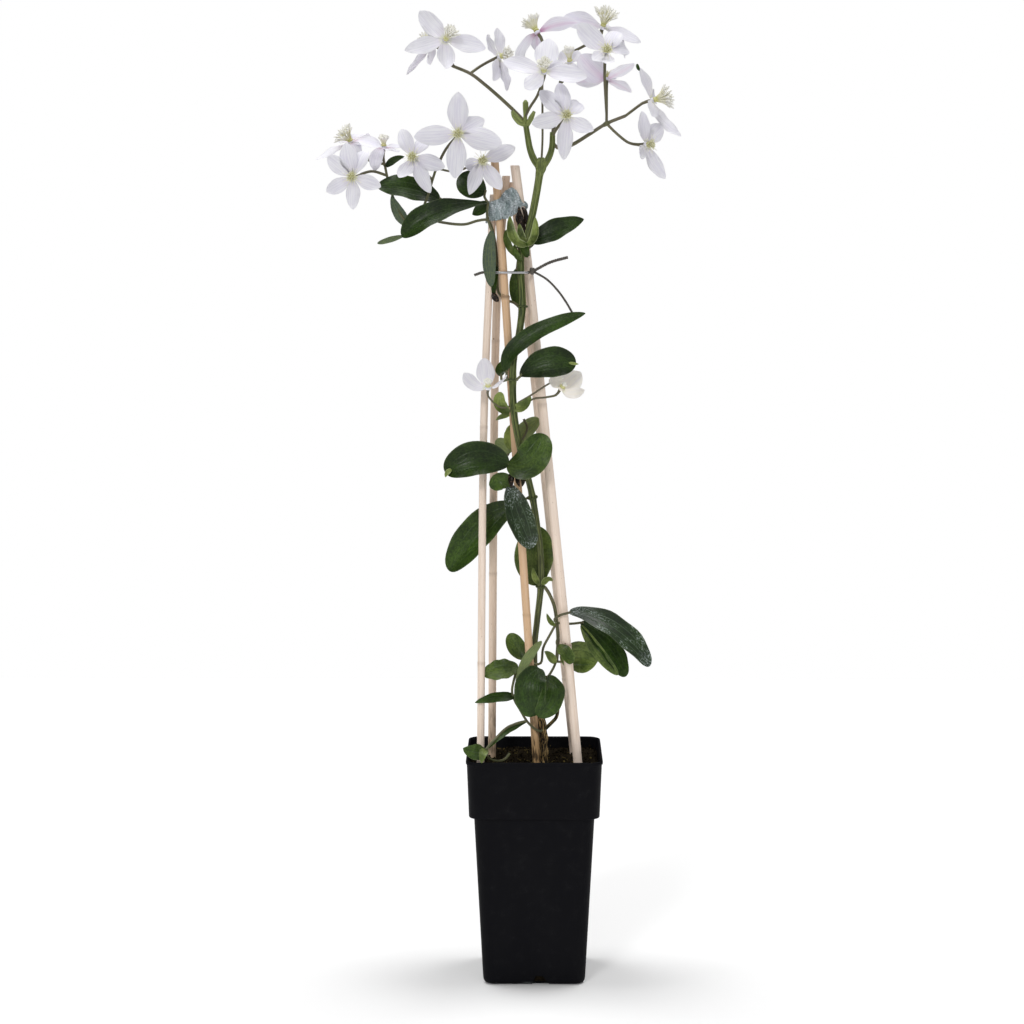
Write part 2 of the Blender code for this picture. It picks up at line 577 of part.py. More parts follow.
def make_cane(name, material):
    """A bamboo cane: a slim bar, bent a little by the tie, with a narrow ring at each joint."""
    axis = cane_axis(name)
    radius, joints = CANES[name][1], CANES[name][3]
    stops = {axis[0].z: radius - 0.5, axis[-1].z: radius - 0.8, axis[-1].z - 1: radius - 0.1}
    for point in axis[1:-1]:
        stops[point.z] = radius
    for z in joints:
        stops.update({z - 2: radius, z: radius + CANE_RING, z + 1.5: radius - 0.1})
    heights = sorted(stops)
    line = [point_at(axis, z)[0] for z in heights]
    return finish(name, tube(line, [stops[z] for z in heights], CANE_SIDES), material)


def make_soil(material):
    """Compost that fills the pot, its top uneven, with a plain hole for each cane and the stem."""
    rings = [rounded_square(half - GAP, z, 3, 3) for z, half in pot_inside()[:4]]
    rings[0] = rounded_square(pot_inside()[0][1] - GAP, FLOOR + GAP, 3, 3)
    rim = COLLAR_FOOT_HALF - WALL + 1.4
    rings.append(rounded_square(rim - GAP, SOIL_TOP - 1.5, 3, 3))
    for share in (0.86, 0.66, 0.46, 0.24):
        ring = rounded_square(rim * share, SOIL_TOP, 3, 3)
        for point in ring:
            point.z += 0.9 * math.sin(0.41 * point.x + 2) * math.cos(0.37 * point.y) + 0.7 * math.sin(
                0.93 * point.x - 0.71 * point.y)
        rings.append(ring)
    body = loft(rings)
    cutters = []
    for name in CANES:
        bottom, foot = cane_axis(name)[:2]
        end = (bottom - foot).normalized() * GAP
        above = cane_at(name, SOIL_TOP + 6)
        cutters.append(tube([bottom + end, foot, above], CANES[name][1] + GAP, CANE_SIDES))
    foot = [Vector(WOODY_BASE[0]) - Vector((0, 0, GAP)), *WOODY_BASE[1:3]]
    cutters.append(tube(foot, [r + GAP for r in WOODY_RADII[:3]], 9))
    return finish("soil", combine(body, cutters, "DIFFERENCE"), material)


def belt(z, things, clearance, steps):
    """The line of a band pulled round upright rods of (centre, radius) at one height."""
    line = []
    for k in range(steps):
        turn = 2 * math.pi * k / steps
        out = Vector((math.cos(turn), math.sin(turn), 0))
        centre, radius = max(things, key=lambda thing: thing[0].dot(out) + thing[1])
        point = centre + out * (radius + clearance)
        line.append(Vector((point.x, point.y, z)))
    return line


def rods_at(z, with_stem):
    rods = [(cane_at(name, z), CANES[name][1]) for name in CANES]
    if with_stem:
        rods.append((stem_at(z)[0], stem_at(z)[2]))
    return rods


def make_wire_tie(material):
    """A coated wire pulled round the canes and stem, its ends twisted together at the front."""
    ring = belt(TIE_HEIGHT, rods_at(TIE_HEIGHT, True), GAP + TIE_WIRE + BELT_SLACK, 20)
    pieces = [tube(ring, TIE_WIRE, 5, closed=True)]
    for points, radius in TIE_ENDS:
        pieces.append(tube(smooth(points, 8), radius, 5))
    return unite("wire_tie", pieces, material)


def make_tie_tape(material):
    """A strip of tape round the canes near their tops, a little higher on the right."""
    rings = []
    low, high = rods_at(TAPE_BOTTOM, False), rods_at(TAPE_TOP, False)
    inner = GAP + BELT_SLACK
    outer = inner + TAPE_THICKNESS
    levels = ((TAPE_BOTTOM, low, outer), (TAPE_TOP, high, outer), (TAPE_TOP, high, inner),
              (TAPE_BOTTOM, low, inner))
    loops = [belt(z, rods, clearance, 24) for z, rods, clearance in levels]
    for corners in zip(*loops):
        rise = TAPE_RISE * (corners[0].x - TAPE_MIDDLE)
        rings.append([corner + Vector((0, 0, rise)) for corner in reversed(corners)])
    return finish("tie_tape", loft(rings, closed=True), material)


def stem_line():
    return smooth(MAIN_STEM, 26)


def stem_at(z):
    """Centre, direction and radius of the main stem at a height."""
    line = stem_line()
    share = (z - line[0].z) / (line[-1].z - line[0].z)
    radius = STEM_FOOT_RADIUS + (STEM_TOP_RADIUS - STEM_FOOT_RADIUS) * share
    return *point_at(line, z), radius


def collar_point(z, azimuth):
    """A point on the middle line of the collar at a height; azimuth 0 is right and 90 is back."""
    centre, along, radius = stem_at(z)
    out = Vector((math.cos(math.radians(azimuth)), math.sin(math.radians(azimuth)), 0))
    out = (out - along * out.dot(along)).normalized()
    return centre + out * (radius + GAP + COLLAR_THICKNESS) / math.cos(math.pi / COLLAR_STEPS)


def collar(z):
    """The swollen joint by which a shoot clasps the main stem."""
    line = [collar_point(z, 360 * k / COLLAR_STEPS) for k in range(COLLAR_STEPS)]
    return tube(line, COLLAR_THICKNESS, 4, closed=True)


def facing(azimuth, elevation):
    """The way a bloom looks: azimuth 0 is to the viewer, and it grows to the right."""
    azimuth, elevation = math.radians(azimuth), math.radians(elevation)
    return Vector((
        math.sin(azimuth) * math.cos(elevation), -math.cos(azimuth) * math.cos(elevation),
        math.sin(elevation)))


def leaf(base, pull, tip, width, looks, outline):
    line = bent(base, pull, tip, LEAF_STATIONS)
    cup = LEAF_CUP if width > SMALL_LEAF else 0
    return blade(line, [width * share for share in outline], looks, LEAF_THICKNESS, cup)


def petal(centre, looks, angle, length, reach, width):
    """A petal that leaves the receptacle across the face and comes to its tip in the picture."""
    angle = math.radians(angle)
    tip = Vector((length * math.cos(angle), reach, length * math.sin(angle)))
    out = (tip - looks * tip.dot(looks)).normalized()
    start = out * PETAL_ROOT
    pull = out * tip.length * PETAL_PULL
    line = [centre + point for point in bent(start, pull, tip, PETAL_STATIONS)]
    return blade(line, [width * share for share in PETAL_WIDTHS], looks, PETAL_THICKNESS, 0)


def make_bloom(name, petal_material, stamen_material):
    """Petals round a small receptacle, and the tuft of stamens that stands on it."""
    centre, azimuth, elevation, petals = BLOOMS[name]
    centre = Vector(centre)
    looks = facing(azimuth, elevation)
    back, front = centre - looks * RECEPTACLE_HALF, centre + looks * RECEPTACLE_HALF
    pieces = [tube([back, front], RECEPTACLE_RADIUS, 6)]
    for row in petals:
        pieces.append(petal(centre, looks, *row))
    unite(name + "_petals", pieces, petal_material, centre)

    foot = front + looks * GAP
    pieces = [tube([foot, foot + looks * TUFT_HEIGHT], TUFT_RADII, 5)]
    across = looks.orthogonal().normalized()
    side = looks.cross(across)
    inner, outer = STAMEN_SPREAD
    for k in range(STAMENS):
        turn = STAMEN_TURN * k
        spread = math.radians(inner + (outer - inner) * math.sqrt(k / STAMENS))
        out = math.cos(turn) * across + math.sin(turn) * side
        way = looks * math.cos(spread) + out * math.sin(spread)
        root = foot + looks * 0.9 + out * math.sin(spread) * 1.2
        pieces.append(tube([root, root + way * STAMEN_LENGTH], STAMEN_RADII, 3))
    unite(name + "_stamens", pieces, stamen_material, centre)


def flower_stalk(points, bloom):
    """A stalk that comes up behind the bloom and ends just short of its receptacle."""
    centre, azimuth, elevation, _ = BLOOMS[bloom]
    looks = facing(azimuth, elevation)
    end = Vector(centre) - looks * (RECEPTACLE_HALF + GAP)
    line = smooth([*points, end - looks * 6, end], STALK_SPACING)
    return tube(line, FLOWER_STALK_RADIUS, FLOWER_STALK_SIDES)


def stalks_of(node):
    return [flower_stalk(points, bloom) for owner, points, bloom in FLOWER_STALKS if owner == node]


def make_shoot(name, material):
    joint, stalks, leaves = SHOOTS[name]
    pieces = [collar(joint)] if joint else []
    for start, *points in stalks:
        if isinstance(start, (int, float)):
            start = collar_point(joint, start)
        pieces.append(tube(smooth([start, *points], STALK_SPACING), STALK_RADIUS, STALK_SIDES))
    pieces += [leaf(*row) for row in leaves]
    return unite(name, pieces + stalks_of(name), material)


def make_main_stem(material):
    pieces = [tube(stem_line(), (STEM_FOOT_RADIUS, STEM_TOP_RADIUS), 7)]
    for points, radii in CROWN_BRANCHES:
        pieces.append(tube(smooth(points, STALK_SPACING), radii, STALK_SIDES))
    pieces.append(tube(BUD, BUD_RADII, 5))
    pieces += [leaf(*row) for row in BRACTS]
    return unite("main_stem", pieces + stalks_of("main_stem"), material)


def make_woody_base(material):
    pieces = [
        tube(WOODY_BASE, WOODY_RADII, 9),
        tube(smooth(WOODY_LOOP, 8), (1.8, 1.3), 6)]
    return unite("woody_base", pieces, material)


remove_everything()
make_parent()
materials = {name: make_material(name) for name in COLOURS}
make_pot(materials["pot"])
make_soil(materials["soil"])
for cane in CANES:
    make_cane(cane, materials["cane"])
make_wire_tie(materials["wire"])
make_tie_tape(materials["tape"])
make_woody_base(materials["bark"])
make_main_stem(materials["stem"])
for shoot in SHOOTS:
    make_shoot(shoot, materials["leaf"])
for bloom_name in BLOOMS:
    make_bloom(bloom_name, materials["petal"], materials["stamen"])
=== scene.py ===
# %% [markdown]
# # A clematis in flower, tied to canes in a square pot
# The plant's form is already settled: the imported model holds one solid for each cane, stem,
# shoot and bloom. This file loads it as a fixed frame and puts a finer surface in the place
# of each solid. Lengths in the tables are millimetres, as a grower would measure them, and
# each finished mesh is scaled to metres. X is to the right, Y away from the viewer, Z up.

import json
import math

import bpy
import numpy as np
from mathutils import Matrix, Vector

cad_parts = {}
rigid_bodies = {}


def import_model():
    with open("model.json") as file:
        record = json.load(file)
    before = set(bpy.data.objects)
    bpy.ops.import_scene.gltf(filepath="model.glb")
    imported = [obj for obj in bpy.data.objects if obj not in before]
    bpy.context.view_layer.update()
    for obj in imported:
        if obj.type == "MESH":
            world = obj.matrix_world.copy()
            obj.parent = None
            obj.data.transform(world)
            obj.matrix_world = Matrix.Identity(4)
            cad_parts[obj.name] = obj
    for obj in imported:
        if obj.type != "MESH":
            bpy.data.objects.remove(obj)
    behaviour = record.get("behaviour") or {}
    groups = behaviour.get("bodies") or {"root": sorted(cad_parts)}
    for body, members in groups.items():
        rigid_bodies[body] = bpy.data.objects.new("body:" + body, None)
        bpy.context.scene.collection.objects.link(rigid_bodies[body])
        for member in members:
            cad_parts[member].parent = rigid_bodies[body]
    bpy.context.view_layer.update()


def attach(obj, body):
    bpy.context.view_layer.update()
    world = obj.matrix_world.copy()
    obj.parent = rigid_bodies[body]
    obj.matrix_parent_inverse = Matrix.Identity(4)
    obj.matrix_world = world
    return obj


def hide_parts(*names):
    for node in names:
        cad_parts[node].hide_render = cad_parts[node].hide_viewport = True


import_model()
MM = 0.001

# %% [markdown]
# ## Camera
# The picture was taken with a long lens from two metres away, at three quarters of the
# plant's height and looking slightly down, so the pot's opening shows as a thin slot. The pot
# stands right of the picture's middle, and a small turn of the camera to the left puts it there.

# %% Camera
PICTURE_SIZE = 1024
SENSOR = 36.0
FOCAL_PIXELS = 2478.0
POT_COLUMN = 534.7
CAMERA_PLACE = Vector((0, -2.0, 0.592))
CAMERA_PITCH = math.radians(6.01)


def add_object(name, data):
    """A new object in the scene that shows its data: a camera, a lamp or a mesh."""
    thing = bpy.data.objects.new(name, data)
    bpy.context.scene.collection.objects.link(thing)
    return thing


def make_camera():
    camera = add_object("camera", bpy.data.cameras.new("camera"))
    camera.data.lens = SENSOR * FOCAL_PIXELS / PICTURE_SIZE
    camera.data.sensor_width = SENSOR
    camera.location = CAMERA_PLACE
    turn_left = math.atan((POT_COLUMN - PICTURE_SIZE / 2) / FOCAL_PIXELS)
    camera.rotation_euler = (math.pi / 2 - CAMERA_PITCH, 0, turn_left)
    bpy.context.scene.camera = camera
    return camera


camera = make_camera()
print("lens", round(camera.data.lens, 1), "mm")

# %% [markdown]
# ## Light
# White petals and a black pot in one picture need soft light that comes from all over. Sun
# lamps with a wide angle act as very large soft boxes: one in front, up to the left, that makes
# the leaves shine, a low one that fills the petals' shade, and two above that leave a soft grey
# shadow round the pot. Together they light the open floor to just white, so it runs into the
# background.

# %% Light
SKY_FILL = 0.14
SKY_GLOSS = 0.12
# Each lamp: its strength, its angle in degrees and where its light comes from
SUNS = {
    "key_light": (0.72, 12, (-0.35, -1.0, 0.6)),
    "front_light": (0.83, 90, (0.15, -1.0, 0.3)),
    "left_light": (1.40, 32, (-0.34, 0.15, 0.95)),
    "right_light": (1.40, 32, (0.34, 0.15, 0.95)),
}


def make_sky():
    """A dim white sky, dimmer still in reflections, that the camera sees as plain white."""
    world = bpy.data.worlds.new("studio")
    world.use_nodes = True
    bpy.context.scene.world = world
    tree = world.node_tree
    sky = tree.nodes["Background"]
    sky.inputs["Color"].default_value = (1, 1, 1, 1)
    path = tree.nodes.new("ShaderNodeLightPath")
    fill = tree.nodes.new("ShaderNodeMapRange")
    fill.inputs["To Min"].default_value = SKY_FILL
    fill.inputs["To Max"].default_value = SKY_GLOSS
    tree.links.new(path.outputs["Is Glossy Ray"], fill.inputs["Value"])
    strength = tree.nodes.new("ShaderNodeMapRange")
    strength.inputs["To Max"].default_value = 1.0
    tree.links.new(path.outputs["Is Camera Ray"], strength.inputs["Value"])
    tree.links.new(fill.outputs["Result"], strength.inputs["To Min"])
    tree.links.new(strength.outputs["Result"], sky.inputs["Strength"])


def make_sun(name, strength, angle, comes_from):
    lamp = bpy.data.lights.new(name, "SUN")
    lamp.energy = strength
    lamp.angle = math.radians(angle)
    add_object(name, lamp).rotation_euler = Vector(comes_from).to_track_quat("Z", "Y").to_euler()


make_sky()
for sun_name, sun_values in SUNS.items():
    make_sun(sun_name, *sun_values)
bpy.context.scene.view_settings.view_transform = "Standard"
print("lamps", len(SUNS))

# %% Floor
FLOOR_COLOUR = (0.92, 0.92, 0.92)
FLOOR_HALF = 1.4


def make_floor():
    mesh = bpy.data.meshes.new("floor")
    corners = [(-1, -1), (1, -1), (1, 1), (-1, 1)]
    mesh.from_pydata([(x * FLOOR_HALF, y * FLOOR_HALF, 0) for x, y in corners], [], [(0, 1, 2, 3)])
    paint = bpy.data.materials.new("floor_paint")
    paint.use_nodes = True
    shader = paint.node_tree.nodes["Principled BSDF"]
    shader.inputs["Base Color"].default_value = (*FLOOR_COLOUR, 1)
    shader.inputs["Roughness"].default_value = 0.9
    shader.inputs["Specular IOR Level"].default_value = 0.0
    mesh.materials.append(paint)
    add_object("floor", mesh)


make_floor()
print("floor", 2 * FLOOR_HALF, "m wide")

# %% [markdown]
# ## Writing materials as arithmetic
# A procedural material is a sum worked out at each point of a surface. Node by node it is
# long to write and hard to read, so a small class wraps a node's output and lets Python's
# own signs make the Math nodes. `1 - vein * 0.3` then reads as what it means.

# %% A shader value
class Value:
    """One output of a node, on which arithmetic makes Math nodes."""

    def __init__(self, recipe, output):
        self.recipe = recipe
        self.output = output

    def math(self, operation, *inputs):
        """A Math node on the inputs; the reflected signs below give them the other way round."""
        return self.recipe.node("ShaderNodeMath", {"operation": operation}, dict(enumerate(inputs)))

    def __add__(self, other):
        return self.math("ADD", self, other)

    def __sub__(self, other):
        return self.math("SUBTRACT", self, other)

    def __mul__(self, other):
        return self.math("MULTIPLY", self, other)

    def __pow__(self, other):
        return self.math("POWER", self, other)

    def __radd__(self, other):
        return self.math("ADD", other, self)

    def __rsub__(self, other):
        return self.math("SUBTRACT", other, self)

    def __rmul__(self, other):
        return self.math("MULTIPLY", other, self)

    def __abs__(self):
        return self.math("ABSOLUTE", self)

    def step(self, start, end):
        """0 below `start`, 1 above `end` and a soft step between them."""
        settings = {"interpolation_type": "SMOOTHSTEP"}
        low, high, below, above = (start, end, 0, 1) if start < end else (end, start, 1, 0)
        inputs = {"Value": self, "From Min": low, "From Max": high, "To Min": below, "To Max": above}
        return self.recipe.node("ShaderNodeMapRange", settings, inputs)

    def line(self, centre, half):
        """1 where the value is at `centre`, falling to 0 at `half` to either side."""
        return abs(self - centre).step(half, 0)


# %% A material recipe
NOISE_ROUGHNESS = 0.55


class Recipe:
    """A material that is written as expressions on what its mesh knows about each point."""

    def __init__(self, name, roughness=0.5, solid=False, **constants):
        self.solid = solid
        self.material = bpy.data.materials.new(name)
        self.material.use_nodes = True
        self.tree = self.material.node_tree
        self.shader = self.tree.nodes["Principled BSDF"]
        self.feed(roughness=roughness, **constants)

    def feed(self, **inputs):
        """Sets sockets of the shader, which are named here in small letters."""
        for key, given in inputs.items():
            self.fill(self.shader, {key.replace("_", " ").title().replace("Ior", "IOR"): given})

    def fill(self, node, inputs):
        """Links values to a node's sockets, and sets the numbers and colours that stay."""
        for key, given in inputs.items():
            socket = node.inputs[key]
            if isinstance(given, Value):
                self.tree.links.new(given.output, socket)
            elif socket.type == "RGBA":
                socket.default_value = (*given, 1)
            else:
                socket.default_value = given

    def node(self, kind, settings=None, inputs=None, output=0):
        """Any node: its type, its settings and the values or links of its sockets."""
        made = self.tree.nodes.new(kind)
        for key, setting in (settings or {}).items():
            setattr(made, key, setting)
        self.fill(made, inputs or {})
        return Value(self, made.outputs[output])

    def facts(self, *names):
        """Numbers that the mesh holds for each point."""
        return [self.node("ShaderNodeAttribute", {"attribute_name": name}, output="Fac") for name in names]

    def place(self, *scale):
        """Where a point lies, in millimetres times `scale`: in the solid, or along its own skin."""
        if self.solid:
            spot = self.node("ShaderNodeTexCoord", output="Object")
            scale = [share / MM for share in scale]
        else:
            spot = self.node("ShaderNodeAttribute", {"attribute_name": "grain"}, output="Vector")
        return self.node("ShaderNodeVectorMath", {"operation": "MULTIPLY"}, {0: spot, 1: scale})

    def noise(self, *scale, detail=3):
        """Cloudy patches, finer along an axis where its scale is larger."""
        inputs = {"Vector": self.place(*scale), "Scale": 1.0, "Detail": detail}
        return self.node("ShaderNodeTexNoise", None, {**inputs, "Roughness": NOISE_ROUGHNESS})

    def cells(self, *scale):
        """How far a point is from the edge of its cell, in a pattern of cells."""
        inputs = {"Vector": self.place(*scale), "Scale": 1.0}
        return self.node("ShaderNodeTexVoronoi", {"feature": "DISTANCE_TO_EDGE"}, inputs)

    def largest(self, first, *others):
        """The largest of some values at each point."""
        for other in others:
            first = first.math("MAXIMUM", first, other)
        return first

    def mix(self, factor, first, second):
        """A colour between two colours."""
        inputs = {0: factor, 6: first, 7: second}
        return self.node("ShaderNodeMix", {"data_type": "RGBA"}, inputs, output=2)

    def finish(self, colour, height, distance, strength=1.0, **inputs):
        """The material, with a relief of `height` times `distance` millimetres."""
        relief = {"Height": height, "Distance": distance * MM, "Strength": strength}
        self.feed(base_color=colour, normal=self.node("ShaderNodeBump", None, relief), **inputs)
        return self.material


print("recipes are ready")

# %% [markdown]
# ## Shapes from rows of rings
# Nearly everything on a plant is a ring of points carried along a line: a stem, a filament,
# a leaf. One bundle gathers many such skins into one mesh. It also keeps facts for each
# point, such as how far along the leaf it lies, and the materials paint veins from those.

# %% A bundle of skins
FACTS = ("along", "across", "under", "chance", "mark")


def shade(mesh, smooth_angle):
    """Smooth shading, but for edges that are sharper than the angle in degrees."""
    mesh.shade_smooth()
    mesh.set_sharp_from_angle(angle=math.radians(smooth_angle))


class Bundle:
    """Skins that become one mesh, with the facts that its material reads."""

    def __init__(self):
        self.points = []
        self.faces = []
        self.grain = []
        self.facts = {name: [] for name in FACTS}
        self.count = 0

    def loft(self, rings, grain, looped=False, **facts):
        """A skin through `rings`, an array of rows of points; an open one gets two end caps."""
        rows, size = rings.shape[:2]
        index = self.count + np.arange(rows * size).reshape(rows, size)
        low, high = (index, np.roll(index, -1, 0)) if looped else (index[:-1], index[1:])
        quads = np.stack([low, np.roll(low, -1, 1), np.roll(high, -1, 1), high], -1)
        self.faces += quads.reshape(-1, 4).tolist()
        if not looped:
            self.faces += [index[0][::-1].tolist(), index[-1].tolist()]
        self.points.append(rings.reshape(-1, 3))
        self.grain.append(np.broadcast_to(grain, rings.shape).reshape(-1, 3))
        for name in FACTS:
            self.facts[name].append(np.broadcast_to(facts.get(name, 0.0), (rows, size)).ravel())
        self.count += rows * size

    def mesh(self, name):
        """The skins as a plain mesh, in metres."""
        mesh = bpy.data.meshes.new(name)
        mesh.from_pydata(np.concatenate(self.points) * MM, [], self.faces)
        return mesh

    def piece(self, name, material, slot, *replaced, smooth_angle=60):
        """The finished object, riding on the one body."""
        mesh = self.mesh(name)
        for fact in FACTS:
            layer = mesh.attributes.new(fact, "FLOAT", "POINT")
            layer.data.foreach_set("value", np.concatenate(self.facts[fact]).astype(np.float32))
        layer = mesh.attributes.new("grain", "FLOAT_VECTOR", "POINT")
        layer.data.foreach_set("vector", np.concatenate(self.grain).astype(np.float32).ravel())
        mesh.materials.append(material)
        shade(mesh, smooth_angle)
        thing = add_object(name, mesh)
        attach(thing, "root")
        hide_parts(*replaced)
        return thing


# %% [markdown]
# A tube needs a frame at each point of its line that doesn't spin, or its skin would twist.
# Each frame is the last one, turned only as much as the line itself turns.

# %% Lines
def smooth(points, spacing):
    """Points along a rounded curve through the given ones, as an array."""
    knots = [np.array(point, float) for point in points]
    ends = [2 * knots[0] - knots[1], *knots, 2 * knots[-1] - knots[-2]]
    line = []
    for a, b, c, d in zip(ends, ends[1:], ends[2:], ends[3:]):
        count = max(1, round(np.linalg.norm(c - b) / spacing))
        t = (np.arange(count) / count)[:, None]
        line.append(b + 0.5 * t * (c - a) + t ** 2 * (a - 2.5 * b + 2 * c - 0.5 * d)
                    + 0.5 * t ** 3 * (3 * b - a - 3 * c + d))
    return np.concatenate([*line, knots[-1][None]])


def unit(vectors):
    return vectors / np.linalg.norm(vectors, axis=-1, keepdims=True)


def directions(line, closed=False):
    """The way that the line runs at each of its points."""
    if closed:
        return unit(np.roll(line, -1, 0) - np.roll(line, 1, 0))
    return unit(np.gradient(line, axis=0))


def lengths(line):
    """How far each point lies along the line."""
    return np.concatenate([[0], np.cumsum(np.linalg.norm(np.diff(line, axis=0), axis=1))])


quarter_circle = smooth([(1, 0, 0), (0.707, 0.707, 0), (0, 1, 0)], 0.1)
print("a quarter circle through three points:", round(lengths(quarter_circle)[-1], 3), "long;",
      "a true one:", round(math.pi / 2, 3))

# %% Tubes
# How far chance shifts the pattern along a tube, so that no two look alike
TUBE_SHIFT = 50.0


def carried_frames(line, closed=False):
    """Two directions across the line at each point, carried along it without a spin."""
    along = directions(line, closed)
    start = np.array(Vector(along[0]).orthogonal())
    across = []
    for way in along:
        start = start - way * start.dot(way)
        start = start / np.linalg.norm(start)
        across.append(start)
    across = np.array(across)
    return across, np.cross(along, across)


def tube(bundle, line, radii, sides=10, ribs=0, rib_depth=0.0, closed=False, **facts):
    """A round or ribbed bar along a line; `radii` is one radius or one for each point."""
    across, side = carried_frames(line, closed)
    turn = np.linspace(0, 2 * math.pi, sides, endpoint=False)
    radii = np.broadcast_to(radii, len(line))[:, None] * (1 + rib_depth * np.cos(ribs * turn))[None]
    out = np.cos(turn)[None, :, None] * across[:, None] + np.sin(turn)[None, :, None] * side[:, None]
    rings = line[:, None] + out * radii[..., None]
    run = np.broadcast_to(lengths(line)[:, None], radii.shape)
    grain = np.stack([np.cos(turn) * radii, np.sin(turn) * radii, run], -1)
    grain = grain + np.array([0, 0, TUBE_SHIFT * facts.get("chance", 0)])
    rib_height = 0.5 + 0.5 * np.cos(ribs * turn)[None] if ribs else 0.0
    facts = {"along": run / run[-1, 0], "across": turn[None] / math.pi - 1, "under": rib_height, **facts}
    bundle.loft(rings, grain, closed, **facts)


print("facts on every mesh:", ", ".join(FACTS))

# %% [markdown]
# ## Blades
# A leaf and a petal are the same shape to a modeller: a thin sheet that follows a bent
# midrib, widest somewhere near its middle. Two skins a little apart make it solid, so its
# upper and lower sides can have colours of their own. Cup, fold, wave and twist give it life.

# %% Outline of a blade
LEAST_SHARE = 0.02


def bent(start, pull, tip, share):
    """Points of a curve that leaves `start` towards `pull` and comes to `tip`."""
    start, pull, tip = (np.array(point, float) for point in (start, pull, tip))
    share = share[:, None]
    return start * (1 - share) ** 2 + pull * 2 * share * (1 - share) + tip * share ** 2


def stations(count):
    """Shares of a blade's length, closer together at its foot and its tip."""
    return 0.5 - 0.5 * np.cos(np.linspace(0, math.pi, count))


def outline(t, foot, peak, shoulder, belly, point):
    """The blade's share of its full width at t: it swells to its peak and rounds off to its tip."""
    swell = foot + (1 - foot) * np.sin(math.pi / 2 * np.clip(t / peak, 0, 1)) ** shoulder
    fall = (1 - np.clip((t - peak) / (1 - peak), 0, 1) ** belly) ** point
    return np.clip(np.where(t < peak, swell, fall), LEAST_SHARE, 1)


print("stations on a short blade:", stations(5).round(2))

# %% Blade
# How far chance shifts the pattern across a blade, so that no two look alike
BLADE_SHIFT = 40.0


def blade(bundle, line, width, shape, looks, thickness, columns=9, cup=0.0, fold=0.0, wave=0.0,
          waves=3.0, twist=0.0, curl=0.0, chance=0.5, mark=0.0):
    """A thin sheet of two skins along a midrib; `looks` is the way that its upper side faces."""
    run = lengths(line)
    t = run / run[-1]
    along = directions(line)
    across = unit(np.cross(along, unit(np.array(looks, float))))
    up = np.cross(across, along)
    line = line + up * (curl * run[-1] * np.clip(t - 0.5, 0, 1) ** 2)[:, None]
    turn = np.radians(twist) * t[:, None]
    across, up = across * np.cos(turn) + up * np.sin(turn), up * np.cos(turn) - across * np.sin(turn)
    v = np.sin(np.linspace(-1, 1, columns) * math.pi / 2)
    half = (width / 2 * outline(t, *shape))[:, None]
    lift = half * (cup * v ** 2 + fold * np.abs(v))
    ripple = np.sin(2 * math.pi * (waves * t[:, None] + chance) + np.where(v < 0, 1.7, 0.0))
    lift = lift + wave * ripple * np.abs(v) ** 2.5 * np.clip(half / half.max(), 0, 1)
    skin = thickness / 2 * (1 - 0.75 * v ** 4) * np.clip(half / half.max() * 2.5, 0.35, 1)
    run = lengths(line)[:, None]
    rings, grains = [], []
    for sign in (1, -1):
        reach = half * v[::sign]
        heights = (lift + sign * skin)[:, ::sign]
        points = line[:, None] + across[:, None] * reach[..., None]
        rings.append(points + up[:, None] * heights[..., None])
        grains.append(np.stack(np.broadcast_arrays(reach, BLADE_SHIFT * chance, run), -1))
    share = np.concatenate([v, v[::-1]])[None]
    under = np.repeat([0.0, 1.0], columns)[None]
    bundle.loft(np.concatenate(rings, 1), np.concatenate(grains, 1), along=t[:, None],
                across=share, under=under, chance=chance, mark=mark)


print("a chance from 0 to 1 shifts a blade's pattern by up to", BLADE_SHIFT, "mm")

# %% [markdown]
# ## Materials of the living parts
# Clematis petals are white with a breath of lilac, finely lined from end to end, and pink
# on their backs and at their feet. Each bloom has a mark: 1 for the pinkest, 0 for plain
# white and -1 for the cream of a bloom that is only half open.

# %% Petal skin
PETAL_WHITE = (0.88, 0.87, 0.965)
PETAL_LINE = (0.68, 0.65, 0.81)
PETAL_PINK = (0.74, 0.50, 0.68)
PETAL_WINE = (0.42, 0.14, 0.30)
PETAL_FOOT = (0.62, 0.66, 0.36)
PETAL_CREAM = (0.93, 0.86, 0.75)


def make_petal_skin():
    skin = Recipe("petal_skin", roughness=0.55, specular_ior_level=0.3, subsurface_weight=0.7,
                  subsurface_radius=(1, 1, 1), subsurface_scale=2 * MM)
    along, across, under, mark = skin.facts("along", "across", "under", "mark")
    threads = skin.noise(1.5, 1, 0.05, detail=4)
    broad = skin.noise(0.10, 0.3, 0.06, detail=2)
    lines = threads.step(0.44, 0.62) * (1 - along.step(0.75, 1.0) * 0.6)
    cream = mark.step(0.0, -1.0)
    colour = skin.mix(cream, PETAL_WHITE, PETAL_CREAM)
    colour = skin.mix(lines * (0.5 - cream * 0.3), colour, PETAL_LINE)
    colour = skin.mix(broad.step(0.35, 0.75) * (0.25 - cream * 0.15), colour, PETAL_LINE)
    mark = mark.step(0.0, 1.0)
    middle = across.line(0, 0.55) * (1 - along * 0.55)
    blush = under * (0.12 + middle * 0.55) * (0.1 + mark) + along.step(0.45, 0.0) * mark * 0.55
    colour = skin.mix(blush, colour, PETAL_PINK)
    colour = skin.mix(along.step(0.2, 0.0) * mark.step(0.4, 0.8) * 0.8, colour, PETAL_WINE)
    foot = along.step(0.16, 0.0) * (1 - under) * (1 - mark)
    colour = skin.mix(foot * 0.8, colour, PETAL_FOOT)
    return skin.finish(colour, threads * 0.5 + across.line(0, 0.2) * 0.6, 0.25, 0.6)


petal_skin = make_petal_skin()
print("made", petal_skin.name)

